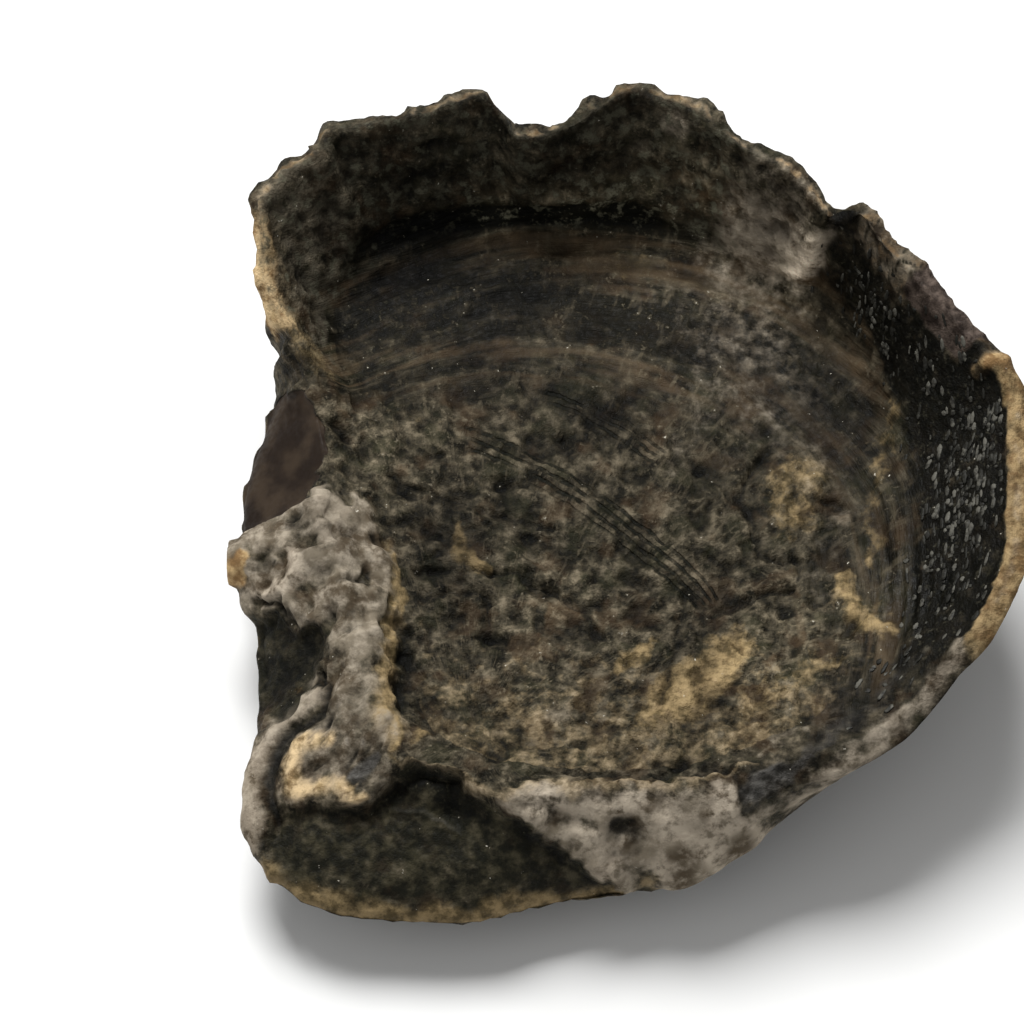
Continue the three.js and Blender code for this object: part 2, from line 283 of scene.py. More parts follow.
base_edge = grid_edge(GRID // 4)
base_numbers = np.arange(count, count + len(base_bearings))
inner = np.ones(len(base_bearings), bool)
inner[base_edge] = False
base_numbers[inner] = count + np.arange(inner.sum())
base_numbers[base_edge] = last
bearing_parts.append(base_bearings[inner])
point_parts.append(base_rows[inner])
zone_parts.append(np.full(inner.sum(), BASE))
for column in range(GRID // 4):
    for row in range(GRID // 4):
        a = column * (GRID // 4 + 1) + row
        b = a + GRID // 4 + 1
        corners = (a, a + 1, b + 1, b)
        faces.append(tuple(int(base_numbers[corner]) for corner in corners))

bearing = np.concatenate(bearing_parts)
reach_height = np.concatenate(point_parts)
zone = np.concatenate(zone_parts)
turn = np.radians(bearing)
place = np.stack([
    GROWTH_CENTRE[0] + reach_height[:, 0] * np.cos(turn),
    GROWTH_CENTRE[1] + reach_height[:, 0] * np.sin(turn),
    np.maximum(reach_height[:, 1], 0),
], axis=-1)

valve_mesh = bpy.data.meshes.new("fossil_valve")
valve_mesh.from_pydata((place * MM).tolist(), [], faces)
valve_mesh.update()
facing = np.zeros(len(place) * 3, np.float32)
valve_mesh.vertices.foreach_get("normal", facing)
facing = facing.reshape(-1, 3).astype(float)

# ---------------------------------------------------------------------------------------------
# Growth: the valve grew outwards from its beak at the near left, so every point has an age, as
# millimetres of growth. Old margins of the shell show in the hollow as lines and low wrinkles.
# ---------------------------------------------------------------------------------------------

BEAK = np.array((-13.8, -24.1))
# An old margin: its age, then the angle and distance of its points as seen from the beak.
OLD_MARGINS = [
    (0, [(-180, 0.01), (180, 0.01)]),
    (18, [(-60, 14), (10, 16), (29, 16.3), (44, 16), (60, 17.6), (76, 17.8), (90, 18), (120, 19)]),
    (28, [(-60, 18), (10, 24), (38, 26.2), (50, 26.2), (64, 27.3), (77, 29.2), (90, 31.3), (120, 33)]),
    (46, [(-60, 26), (10, 36), (34, 44.7), (45, 46.8), (56, 48), (75, 45.9), (87, 44.4), (120, 36)]),
    (53, [(-60, 32), (10, 44), (40, 53), (55, 54.6), (67, 54.9), (77, 53.5), (87, 51.5), (120, 42)]),
    (75, [(-60, 54), (10, 66), (40, 75), (55, 77), (67, 77), (77, 75), (87, 73), (120, 64)]),
]


def smooth(low, high, values):
    """0 below low and 1 above high, with a soft bend between them; low may be the larger."""
    t = np.clip((values - low) / (high - low), 0, 1)
    return t * t * (3 - 2 * t)


def growth_age(x, y):
    """How many millimetres the shell had grown when its margin passed over each place."""
    angle = np.degrees(np.arctan2(y - BEAK[1], x - BEAK[0]))
    distance = np.hypot(x - BEAK[0], y - BEAK[1])
    reaches = []
    for _, points in OLD_MARGINS:
        angles, margin = zip(*points)
        reaches.append(np.interp(angle, angles, margin, period=360))
    age = np.full(len(x), float(OLD_MARGINS[-1][0]))
    for step in range(len(OLD_MARGINS) - 1, 0, -1):
        low, high = reaches[step - 1], reaches[step]
        share = np.clip((distance - low) / (high - low), 0, 1)
        young, old = OLD_MARGINS[step - 1][0], OLD_MARGINS[step][0]
        age = np.where(distance < high, young + (old - young) * share, age)
    return age


# How far up the wall a point lies, and on over the rim, measured along the surface.
climb = np.zeros(len(place))
for before, now in zip(row_numbers, row_numbers[1:]):
    before = before if len(before) == len(now) else before[::2]
    climb[now] = climb[before] + np.linalg.norm(place[now] - place[before], axis=1)
rim_climb = climb[row_numbers[WALL_ROWS + LIP_ROWS // 2]]
rim_here = np.interp(bearing, ring_bearings, rim_climb, period=360)
past_rim = climb - rim_here
past_rim[zone == FLOOR] = -rim_here[zone == FLOOR]
past_rim[zone == BASE] = 60

foot_here = around(WALL_FOOT, 1, bearing)
foot_x = GROWTH_CENTRE[0] + foot_here * np.cos(turn)
foot_y = GROWTH_CENTRE[1] + foot_here * np.sin(turn)
on_floor = zone == FLOOR
inside_age = growth_age(np.where(on_floor, place[:, 0], foot_x), np.where(on_floor, place[:, 1], foot_y))
inside_age += climb
inside = 1 - smooth(-0.2, 0.9, past_rim)

BEAK_TIP = np.array((-24.0, -26.0, 12.0))
from_tip = (place - BEAK_TIP) * (1, 1, 1.25)
outside_age = np.linalg.norm(from_tip, axis=1)
age = inside_age * inside + outside_age * (1 - inside)
way = np.arctan2(place[:, 1] - BEAK[1], place[:, 0] - BEAK[0])
GROWTH_STRETCH = 10
growth = np.stack([age, GROWTH_STRETCH * np.cos(way), GROWTH_STRETCH * np.sin(way)], axis=-1)

# What the noises are made of: random arrows and random places on a lattice, which repeats.
LATTICE = 48
NOISE_SHIFT = 3.37
NOISE_GAIN = 1.7
PEBBLE_SHIFT = 5.13
dice = np.random.default_rng(20)
arrows = dice.normal(size=(LATTICE, LATTICE, LATTICE, 3))
arrows /= np.linalg.norm(arrows, axis=-1, keepdims=True)
jitter = dice.random((LATTICE, LATTICE, LATTICE, 3))


def stone_noise(points, size, shift):
    """Smooth noise from about -1 to 1, with lumps of the given size."""
    spot = points / size + shift * NOISE_SHIFT
    cell = np.floor(spot).astype(int)
    part = spot - cell
    ease = part**3 * (part * (part * 6 - 15) + 10)
    total = np.zeros(len(points))
    for corner in np.ndindex(2, 2, 2):
        number = (cell + corner) % LATTICE
        arrow = arrows[number[:, 0], number[:, 1], number[:, 2]]
        weight = np.prod(np.where(corner, ease, 1 - ease), axis=1)
        total += weight * ((part - corner) * arrow).sum(axis=1)
    return total * NOISE_GAIN


def pebbles(points, size, shift):
    """The distance to the nearest scattered point, 0 on it and about 1 halfway to the next."""
    spot = points / size + shift * PEBBLE_SHIFT
    cell = np.floor(spot).astype(int)
    nearest = np.full(len(points), 9.0)
    for corner in np.ndindex(3, 3, 3):
        other = cell + corner - 1
        number = other % LATTICE
        centre = other + jitter[number[:, 0], number[:, 1], number[:, 2]]
        nearest = np.minimum(nearest, ((spot - centre)**2).sum(axis=1))
    return np.sqrt(nearest)


x, y, z = place.T
wandering = np.stack([stone_noise(place, 2.6, shift) for shift in (8, 9, 12)], axis=-1)
fraying = np.stack([stone_noise(place, 0.9, shift) for shift in (10, 11, 13)], axis=-1)
plan = place[:, :2] + wandering[:, :2] * 0.8 + fraying[:, :2] * 0.28
from_above = smooth(-0.15, 0.25, 0.92 * facing[:, 2] - 0.4 * facing[:, 1])

wrinkle_broad = stone_noise(growth, 3.4, 1)
wrinkle_middle = 1 - 2.2 * np.abs(stone_noise(growth * (1, 1.3, 1.3) + wandering * 0.5, 2.1, 2))
wrinkle_fine = stone_noise(growth * (1, 2.4, 2.4), 0.9, 3)
lump_broad = stone_noise(place, 4.6, 4)
lump_middle = stone_noise(place, 2.2, 5)
lump_fine = stone_noise(place, 0.75, 7)
# Crumpled stone: sharp little crests and hollows between them, bent this way and that.
bent = place + wandering * 1.3 + fraying * 0.35
crumple_large = 1 - 2.4 * np.abs(stone_noise(bent, 3.1, 6))
crumple_small = 1 - 2.4 * np.abs(stone_noise(bent, 1.5, 24))

lined = smooth(32, 46, inside_age + 4 * wandering[:, 2]) * (1 - 0.8 * smooth(1, 6, climb))
lined *= 1 - 0.5 * smooth(0.05, 0.6, stone_noise(place, 6, 25))
crumpled = 1 - 0.78 * lined
hollow_relief = (0.3 + 0.7 * lined) * (0.2 * wrinkle_broad + 0.17 * wrinkle_middle + 0.12 * wrinkle_fine)
hollow_relief += crumpled * (0.27 * crumple_large + 0.2 * crumple_small + 0.07 * lump_fine)
hollow_relief += crumpled * (0.24 * lump_broad + 0.14 * lump_middle)

# ---------------------------------------------------------------------------------------------
# The marks on the floor of the hollow: fine scratched lines, cracks, pits, a raised oval scar
# and thin tan patches of clay that have baked on to the stone.
# ---------------------------------------------------------------------------------------------


def through(points, closed=False, steps=6):
    """A smooth line through the points."""
    points = np.array(points, float)
    if closed:
        ends = np.vstack([points[-1], points, points[:2]])
    else:
        ends = np.vstack([2 * points[0] - points[1], points, 2 * points[-1] - points[-2]])
    line = []
    for a, b, c, d in zip(ends, ends[1:], ends[2:], ends[3:]):
        line += [profile(a, b, c, d, step / steps) for step in range(steps)]
    if not closed:
        line.append(points[-1])
    return np.array(line)


# No line or patch reaches farther than this, in millimetres.
LINE_REACH = 8


def close_by(spots, line):
    """True for the spots near the box round the line; the rest are never reached by it."""
    low_corner = line.min(axis=0) - LINE_REACH
    high_corner = line.max(axis=0) + LINE_REACH
    return ((spots > low_corner) & (spots < high_corner)).all(axis=1)


def line_gap(spots, line, closed=False):
    """The distance from each spot to the line, and how far along it, 0 to 1, the nearest place is."""
    nearest = np.full(len(spots), 99.0)
    along = np.zeros(len(spots))
    beside = close_by(spots, line)
    few, gaps, places = spots[beside], nearest[beside], along[beside]
    pairs = list(zip(line, np.roll(line, -1, axis=0) if closed else line[1:]))
    for number, (a, b) in enumerate(pairs):
        run = b - a
        share = np.clip((few - a) @ run / (run @ run), 0, 1)
        gap = np.linalg.norm(few - a - share[:, None] * run, axis=1)
        closer = gap < gaps
        gaps = np.where(closer, gap, gaps)
        places = np.where(closer, (number + share) / len(pairs), places)
    nearest[beside], along[beside] = gaps, places
    return nearest, along


def stroke(points, width):
    """1 on a drawn line and 0 beyond its width, thinning out at both ends."""
    gap, along = line_gap(plan, through(points))
    taper = 0.25 + 0.75 * np.sin(np.pi * np.clip(along, 0.02, 0.98)) ** 0.5
    return np.exp(-(gap / (width * taper)) ** 2) * from_above


def patch(outline, edge):
    """1 inside a closed outline and 0 outside it, with a soft border."""
    line = through(outline, closed=True)
    gap, _ = line_gap(plan, line, closed=True)
    beside = close_by(plan, line)
    few = plan[beside]
    crossed = np.zeros(len(few), bool)
    for a, b in zip(line, np.roll(line, -1, axis=0)):
        crosses = (a[1] > few[:, 1]) != (b[1] > few[:, 1])
        rise = np.where(b[1] == a[1], 1e-9, b[1] - a[1])
        crossed ^= crosses & (few[:, 0] < a[0] + (few[:, 1] - a[1]) * (b[0] - a[0]) / rise)
    within = np.zeros(len(plan), bool)
    within[beside] = crossed
    return smooth(-edge, edge, np.where(within, gap, -gap)) * from_above


def spot_at(centre, width, height=None):
    """A round spot, or an oval one if a height is given."""
    away = (plan - centre) / (width, height or width)
    return np.exp(-(away**2).sum(axis=1)) * from_above


def knob(centre, size):
    """A round spot on a steep wall, measured through the stone."""
    return np.exp(-(((place - centre) / size) ** 2).sum(axis=1))


def lay(colour, amount):
    """Lays a colour or a gloss on the stone, wherever it is stronger than what is there already."""
    np.maximum(colour, amount, out=colour)


tan = np.zeros(len(place))
ochre = np.zeros(len(place))
chalk = np.zeros(len(place))
# The black mask: black stone, and also painted shade in pits, cracks, grooves, the hinge cavity, under the
# shelf and along the far wall's foot.
black_and_shade = np.zeros(len(place))
moss = np.zeros(len(place))
pale_and_lit = np.zeros(len(place))
glossy = np.zeros(len(place))
detail = np.zeros(len(place))

BIG_CLAY_PATCH = [
    (0.8, -22), (2.6, -18.4), (6.2, -14.9), (9.6, -12.6), (11.6, -13.4), (9.8, -16.6), (6, -21.4),
]
clay_patch = patch(BIG_CLAY_PATCH, 1.7)
lay(tan, 1.1 * clay_patch)
lay(ochre, 0.28 * clay_patch)
lay(tan, 0.8 * stroke([(-0.9, -16.8), (0.8, -15.2), (2.6, -13.7)], 1.2))
lay(tan, 0.9 * stroke([(-14.9, -1.8), (-14.2, -4.8), (-12, -5.8)], 1.1))
lay(tan, 0.42 * stroke([(25, 10.5), (24.2, 7), (23.4, 2.9), (22.3, -0.1)], 1.2))
lay(tan, 0.5 * stroke([(22.9, -1.3), (23.2, -3.9), (22, -6.3)], 0.9))
lay(tan, 0.45 * stroke([(8.1, -24.8), (11.8, -19.5), (15.4, -17.6), (19, -15.8)], 2.6))

OVAL_SCAR = [(16.4, 6.2), (14.1, 4.4), (13.4, 1.2), (14.5, -2.6), (16.6, -2), (18.9, 1.1), (19.2, 4.2)]
oval_scar = patch(OVAL_SCAR, 1.5)
oval_rim = spot_at((16.3, 2.6), 4.6, 5.4) - spot_at((16.3, 2.6), 3.4, 4)
lay(tan, 0.62 * oval_scar - 0.3 * spot_at((17.2, 1.6), 2.2, 1.6))
detail += 0.5 * oval_scar - 0.6 * oval_rim - 0.7 * spot_at((19, 0.4), 1.1)
white_lump = spot_at((19.9, -0.8), 1.2)
detail += 0.7 * white_lump
lay(chalk, 0.9 * white_lump)

clay_ridge = stroke([(19.9, -7.2), (20.3, -10.4), (21.9, -12.2), (23.7, -13.8)], 1.5)
detail += 0.55 * clay_ridge
lay(tan, 0.8 * clay_ridge)
lay(ochre, 0.22 * clay_ridge)
# A pit at the end of the clay ridge, dented and painted dark: painted shade in it.
detail -= 1.0 * spot_at((19.9, -12.1), 1.1)
lay(black_and_shade, 0.8 * spot_at((19.9, -12.1), 1.1))

pale_lump = spot_at((-5.7, -21), 1.7)
detail += 0.5 * pale_lump
lay(chalk, 0.6 * pale_lump)

PITS = [
    ((-11.2, 2.4), 1.3, 0.8), ((-5.6, 8), 1.0, 0.7), ((2.1, 3.7), 0.9, 0.5), ((-12, -12.6), 1.5, 0.9),
    ((-15.2, -11.1), 1.2, 0.7), ((-17.5, -2.1), 1.3, 0.8), ((-16.6, -6.1), 1.4, 0.8),
    ((-20.1, -12.6), 1.3, 0.9), ((6.9, 4.6), 1.4, 0.5), ((12.3, -2.5), 1.0, 0.5), ((-8.6, -2.5), 1.1, 0.5),
    ((13.2, 8.8), 1.2, 0.5), ((-2.5, -9.6), 0.9, 0.4), ((9.6, -17.6), 0.8, 0.5), ((4.4, -26.2), 1.3, 0.5),
    ((-19.7, 1.2), 1.2, 0.6), ((14.7, -10.4), 1.1, 0.5), ((-9.5, -17.5), 1.2, 0.5),
]
# Each pit is dented and painted darker: painted shade in the dent.
for centre, width, depth in PITS:
    pit = spot_at(centre, width, width * 0.75)
    detail -= depth * pit
    lay(black_and_shade, 0.75 * pit)

CRACKS = [
    ([(4.2, -11), (9.5, -9.9), (15.4, -7.9)], 0.35, 0.45),
    ([(15.4, -4.2), (16, -6.4), (15.9, -8.4)], 0.35, 0.4),
    ([(-22.1, 2.9), (-13.9, 0.7), (-5.7, -2.2), (-0.3, -5.8)], 0.4, 0.35),
    ([(-13.9, -6), (-9.4, -6.9), (-4.9, -8.9), (-2.2, -13.1), (0.4, -16.2)], 0.45, 0.5),
    ([(-31.4, 12), (-26.8, 7.9), (-23.4, 6.4)], 0.4, 0.7),
    ([(-33.2, -7.5), (-30.5, -10.2), (-28.1, -11.8)], 0.4, 0.7),
    ([(5.4, -9.4), (4.4, -14.6), (3.2, -19.2)], 0.4, 0.25),
    ([(13.8, 7.4), (11.4, 3.2), (12, -2.8), (14.8, -6)], 0.5, 0.35),
    ([(-17, -9.4), (-14.8, -8.1), (-12.4, -8.8), (-11.6, -11.4)], 0.4, 0.45),
]
# Each crack is cut in and painted darker: painted shade in the crack.
for points, width, depth in CRACKS:
    crack = stroke(points, width)
    detail -= depth * crack
    lay(black_and_shade, 0.6 * crack)

# A bundle of fine parallel lines: how far to either side of its middle line a point lies.
FINE_LINES = [(-15.4, 7.5), (-13.5, 7.2), (-7.5, 4.4), (-2, 0.5), (2.9, -3.9), (6.9, -8.1), (8, -9.8)]
SCRATCH_GAP = 1.0
SHORT_LINES = [(-7.6, 12.9), (-5.6, 12.4), (-1.9, 10.2), (2.6, 6.4), (3.6, 5.4)]


def bundle(points, reach):
    """How far off to its left each place is, counted in lines, and 1 within reach of the bundle."""
    line = through(points)
    bent_plan = place[:, :2] + wandering[:, :2] * 0.2
    gap, along = line_gap(bent_plan, line)
    side = np.zeros(len(place))
    nearest = np.full(len(place), 1e9)
    for a, b in zip(line, line[1:]):
        run = (b - a) / np.linalg.norm(b - a)
        rel = bent_plan - a
        share = np.clip(rel @ run, 0, np.linalg.norm(b - a))
        off = np.linalg.norm(rel - share[:, None] * run, axis=1)
        across = run[0] * rel[:, 1] - run[1] * rel[:, 0]
        side = np.where(off < nearest, across, side)
        nearest = np.minimum(off, nearest)
    ends = smooth(0, 0.15, along) * smooth(1, 0.86, along)
    count = side / SCRATCH_GAP * (0.85 + 0.5 * along)
    return count, (1 - smooth(reach * 0.65, reach, gap)) * ends * from_above, gap / reach


fine_count, fine_mask, fine_gap = bundle(FINE_LINES, 1.9)
short_count, short_mask, short_gap = bundle(SHORT_LINES, 1.5)
scratch_count = np.where(fine_gap <= short_gap, fine_count, short_count)
scratch_mask = np.maximum(fine_mask, 0.7 * short_mask) * smooth(-1.1, 0, stone_noise(place, 2.8, 26))
detail -= 0.1 * scratch_mask * np.sin(2 * np.pi * scratch_count)

# The growth bands are darker on the left, and chalky on the right.
band_side = smooth(12, -4, x) * lined * inside
lay(black_and_shade, 0.3 * band_side)
lay(chalk, 0.38 * lined * inside * smooth(0, 10, x) * smooth(24, 17, x))
# The floor is warmer and paler towards the hinge, and olive-brown just inside the far wall.
near_hinge = smooth(-8, -24, y) * on_floor
lay(chalk, 0.28 * near_hinge)
lay(tan, 0.4 * near_hinge)
olive_band = smooth(50.6, 52, inside_age) * smooth(56.2, 54.8, inside_age)
olive_band *= smooth(80, 90, bearing) * smooth(122, 108, bearing) * (climb < 1)
lay(tan, 0.18 * olive_band)
# Painted shade on the floor at the upper left, darkest towards the foot of the wall.
left_foot_shade = smooth(116, 128, bearing) * smooth(160, 150, bearing) * on_floor
left_foot_shade *= smooth(0.66, 0.88, reach_height[:, 0] / foot_here + 0.03 * wandering[:, 0])
lay(black_and_shade, 0.58 * left_foot_shade)
# A groove at the left of the floor: mossy, dented, and painted near black as shade in it.
lay(moss, 0.6 * stroke([(-20.4, -12), (-19.8, -16), (-19.8, -20.6)], 1.3))
lay(black_and_shade, 0.7 * stroke([(-20.1, -13), (-19.5, -16), (-19.6, -20)], 1.0))
detail -= 0.8 * stroke([(-20.2, -11.6), (-19.6, -16), (-19.7, -20.6)], 1.1)

# ---------------------------------------------------------------------------------------------
# The walls of the hollow: the tall far wall with its foot painted black as shade, the fold under the
# notch, and the black right wall. Their stone is the same body, darker where the light growth layers broke
# off.
# ---------------------------------------------------------------------------------------------

on_wall = smooth(0.2, 1.5, climb) * inside
far_wall = smooth(66, 80, bearing) * smooth(160, 148, bearing) * on_wall
right_wall = np.maximum(smooth(57.5, 55.5, bearing), smooth(305, 330, bearing)) * on_wall
# The foot of the far wall is dented and painted near black: painted shade where the wall turns into the
# floor.
foot_shade = smooth(0.2, 1.2, climb) * smooth(4.4, 2.6, climb + 0.8 * wandering[:, 0])
foot_shade *= smooth(82, 92, bearing) * smooth(143, 130, bearing) * inside
left_wall = smooth(128, 138, bearing) * smooth(160, 152, bearing) * on_wall
lay(black_and_shade, 0.9 * foot_shade)
lay(black_and_shade, 0.42 * far_wall)
lay(moss, 0.45 * far_wall)
lay(chalk, (0.28 + 0.14 * left_wall) * far_wall * (1 - foot_shade))
black_and_shade *= 1 - 0.5 * left_wall
detail -= 0.55 * foot_shade
wall_bumps = 0.5 - pebbles(place * (1, 1, 0.8), 2.6, 3)
detail += 0.42 * far_wall * wall_bumps
right_dark = right_wall * smooth(1, 3.4, climb + 1.4 * wandering[:, 1])
lay(black_and_shade, (0.92 - 0.24 * smooth(30, 44, bearing) * smooth(90, 60, bearing)) * right_dark)
wall_cloud = right_dark * smooth(0, 0.6, stone_noise(place * (1, 1, 0.6), 1.1, 29))
black_and_shade *= 1 - 0.35 * wall_cloud
lay(chalk, 0.26 * wall_cloud)
lay(glossy, 0.35 * right_dark)
flat_right = 1 - 0.6 * right_dark

pale_blob = knob((5.3, 34.7, 25.4), 1.7)
detail += 0.5 * pale_blob
lay(chalk, 0.95 * pale_blob)
black_and_shade *= 1 - 0.95 * pale_blob
WALL_PATCHES = [
    ((-28.4, 27.5, 18.6), 2.8, 0.55), ((-25.9, 26.8, 17.2), 2.2, 0.5), ((-31.3, 25, 20), 2.4, 0.5),
    ((13.8, 26.4, 14.2), 3.0, 0.62), ((11.5, 28, 15), 2.6, 0.5), ((2, 35, 22), 2.4, 0.45),
    ((-34, 24, 23), 2.6, 0.5), ((-30, 30, 22.5), 2.4, 0.45), ((-6, 37, 24), 2.2, 0.4),
    ((9, 33, 21), 3.0, 0.45),
]
for centre, size, paleness in WALL_PATCHES:
    wall_patch = knob(centre, size)
    lay(chalk, paleness * wall_patch)
    black_and_shade *= 1 - 0.8 * wall_patch

pale_field = smooth(56, 60, bearing) * smooth(84, 72, bearing) * smooth(-4, 1, climb - 2)
pale_field *= inside * (1 - 0.5 * smooth(4, 12, climb))
lay(chalk, 0.74 * pale_field)
lay(pale_and_lit, 0.3 * pale_field)
black_and_shade = np.minimum(black_and_shade, 1 - 0.85 * pale_field)
moss = np.minimum(moss, 1 - 0.7 * pale_field)

fold = np.exp(-((bearing - 57.2 + 0.25 * climb) / 1.5) ** 2) * on_wall
fold_bearing = bearing - 60.5 + 0.4 * climb + 1.6 * wandering[:, 1]
fold_streak = np.exp(-(fold_bearing / 3.0) ** 2) * on_wall * smooth(12, 8, climb)
# The fold streak is painted paler still: painted light on a part of the wall that faces away from the lamp.
lay(pale_and_lit, 0.6 * fold_streak)
detail -= 0.5 * fold
detail += 0.12 * fold_streak
lay(chalk, 0.9 * fold_streak * smooth(1, 3, climb))
black_and_shade *= 1 - 0.9 * fold_streak
detail -= 0.45 * smooth(57.2, 55.5, bearing) * smooth(30, 50, bearing) * on_wall

glossy_lines = spot_at((25, -10), 4.2, 5.2)
detail += 0.16 * glossy_lines * np.cos(2 * np.pi * (inside_age + 0.6 * wandering[:, 0]) / 1.3)
lay(glossy, 0.8 * glossy_lines)

# ---------------------------------------------------------------------------------------------
# The rim: a broken edge with a thin cream line along its top, painted as a highlight. The cut layers
# of the shell show as pale steps at the far right, as a tan band on the right, and as an ochre edge on
# the left, painted bright as a glow, as if lit through from behind.
# ---------------------------------------------------------------------------------------------

upper_rim = np.maximum(smooth(325, 335, bearing), smooth(160, 152, bearing))
# A thin cream line along the top of the rim: painted highlight.
rim_highlight_line = np.exp(-((past_rim + 0.15) / 0.55) ** 2) * smooth(-0.5, 0.3, wandering[:, 0] + fraying[:, 1])
lay(ochre, 0.55 * rim_highlight_line * upper_rim)
lay(chalk, 0.75 * rim_highlight_line * upper_rim)

tan_edge = smooth(322, 330, bearing) + smooth(18.5, 15, bearing)
tan_edge *= smooth(-1.4, -0.9, past_rim + 0.35 * fraying[:, 0]) * smooth(2.6, 1.6, past_rim)
lay(ochre, 0.5 * tan_edge)
lay(tan, 0.9 * tan_edge)
black_and_shade *= 1 - np.clip(tan_edge, 0, 1)
hook = np.exp(-((bearing - 15.6) / 1.5) ** 2) * smooth(-3.4, -2.6, past_rim) * smooth(1.6, 0.8, past_rim)
lay(ochre, 0.9 * hook)
lay(chalk, 0.85 * hook)
detail += 0.5 * hook + 0.25 * np.clip(tan_edge, 0, 1)

# The ochre edge on the left is painted bright: a painted glow, as if lit through the thin stone from behind.
backlit_ochre_edge = smooth(143, 147, bearing) * smooth(155.5, 152.5, bearing)
backlit_ochre_edge *= smooth(-4.6, -0.8, past_rim + 1.3 * wandering[:, 0]) * smooth(4.5, 2.5, past_rim)
lay(ochre, backlit_ochre_edge)
lay(pale_and_lit, 0.75 * backlit_ochre_edge)
black_and_shade *= 1 - backlit_ochre_edge
warm_left = smooth(139, 146, bearing) * smooth(160, 156, bearing) * smooth(-8, -3, past_rim) * inside
lay(tan, 0.45 * warm_left)
black_and_shade *= 1 - 0.5 * warm_left

pink_rim = smooth(18.5, 21, bearing) * smooth(38, 34, bearing) * smooth(-4.2, -3, past_rim)
pink_rim *= smooth(2.5, 1.5, past_rim)
steps_rim = smooth(33, 36, bearing) * smooth(52, 50, bearing) * smooth(-5.2, -3.6, past_rim)
steps_rim *= smooth(2.2, 1.2, past_rim)
step_count = (y + 0.9 * wandering[:, 0]) / 1.4
step_saw = step_count - np.floor(step_count)
step_break = smooth(0.12, 0.02, step_saw) + smooth(0.9, 1, step_saw)
detail += steps_rim * 0.16 * (1 - step_saw)
lay(chalk, 0.3 * pink_rim)
# Less chalk and no ochre at each step's drop: painted shade on the steps' faces.
lay(chalk, steps_rim * (0.62 - 0.5 * step_break))
lay(ochre, 0.3 * steps_rim * (1 - step_break))
black_and_shade *= 1 - 0.85 * np.maximum(pink_rim, steps_rim)

chips = stone_noise(place * (1, 1, 0.6), 1.6, 14) + 0.6 * lump_fine
smooth_side = smooth(280, 292, bearing) * smooth(342, 330, bearing) * smooth(-3.5, -1.5, past_rim)
near_rim = np.exp(-((past_rim) / 1.3) ** 2) * (1 - 0.6 * np.clip(tan_edge, 0, 1)) * (1 - 0.85 * smooth_side)
near_rim *= 1 - 0.75 * smooth(236, 246, bearing) * smooth(300, 286, bearing)
detail += near_rim * 0.22 * chips
detail -= near_rim * 0.36 * smooth(0.35, 0.8, stone_noise(place, 2.3, 15))

# ---------------------------------------------------------------------------------------------
# The broken left side: a smooth chipped facet, and below it a lumpy ridge of whitish crust with
# pits and a mossy pocket. The crust is lime that has set hard on the shell.
# ---------------------------------------------------------------------------------------------

facet = patch([(-31, 12.4), (-35, 8), (-38, 2), (-37.5, -1.2), (-31.5, -0.9), (-28.6, 0.8), (-27.2, 7)], 0.35)
RIDGE = [
    (-33, -0.6), (-29.4, -0.2), (-25.7, 1), (-21.6, -3), (-19.9, -8), (-20, -13.6), (-21, -19.6),
    (-19.4, -24.4), (-24.6, -22.4), (-26, -18.7), (-27.4, -13.4), (-32.7, -9.6), (-36.2, -7), (-36.6, -1.2),
]
ridge = patch(RIDGE, 0.8)
ridge_lumps = 0.62 - pebbles(place, 3.3, 1)
ridge_small = 0.5 - pebbles(place, 1.7, 2)
# Soft hollows in the crust: dented, and less chalky so that they read darker, as painted shade.
shaded_hollow = smooth(0.15, 0.6, stone_noise(place, 1.8, 28))
detail += ridge * (0.7 + 1.1 * ridge_lumps + 0.45 * ridge_small - 0.45 * shaded_hollow)
lay(chalk, ridge * (0.64 + 0.6 * ridge_lumps + 0.3 * ridge_small - 0.5 * shaded_hollow))
lay(tan, 0.55 * ridge * smooth(-25, -20.5, x))
black_and_shade *= 1 - ridge
moss *= 1 - 0.8 * ridge
pale_column = stroke([(-27, 1.2), (-26.7, -2.4), (-26.8, -5.3)], 1.3)
bright_crust = stroke([(-29.5, -4.6), (-29.1, -7.4), (-30.5, -8.5), (-33, -7.9)], 0.95)
detail += 0.5 * pale_column + 0.5 * bright_crust
lay(chalk, np.maximum(pale_column, 1.25 * bright_crust))
lay(pale_and_lit, np.maximum(0.35 * pale_column, 0.8 * bright_crust))
INNER_EDGE = [(-20.9, -5), (-20.4, -9.5), (-21, -13), (-21.5, -19.2), (-20.8, -23.2), (-19.9, -25.6)]
inner_edge = stroke(INNER_EDGE, 1.05)
lay(tan, 0.95 * inner_edge)
chalk *= 1 - 0.6 * inner_edge
for centre in [(-21.8, -6), (-22.5, -10.4), (-18.4, -23.6)]:
    detail += 0.45 * spot_at(centre, 1.1)
lay(tan, 0.7 * spot_at((-18.4, -23.6), 1.0))
RIDGE_PITS = [
    ((-31.9, -5.9), 1.25, 0.6), ((-26.5, -7.8), 0.95, 1.0), ((-24.5, -9.1), 0.7, 0.6),
    ((-26.3, -11.6), 0.7, 0.7), ((-25.1, -4.2), 0.9, 0.5), ((-22.4, -3.8), 0.9, 0.5),
    ((-29.4, -2.6), 1.0, 0.4), ((-24.3, -13.6), 0.7, 0.5),
]
# Each pit in the crust is dented and painted dark: painted shade in it.
for centre, width, depth in RIDGE_PITS:
    pit = spot_at(centre, width)
    detail -= depth * pit
    lay(black_and_shade, 0.62 * pit)
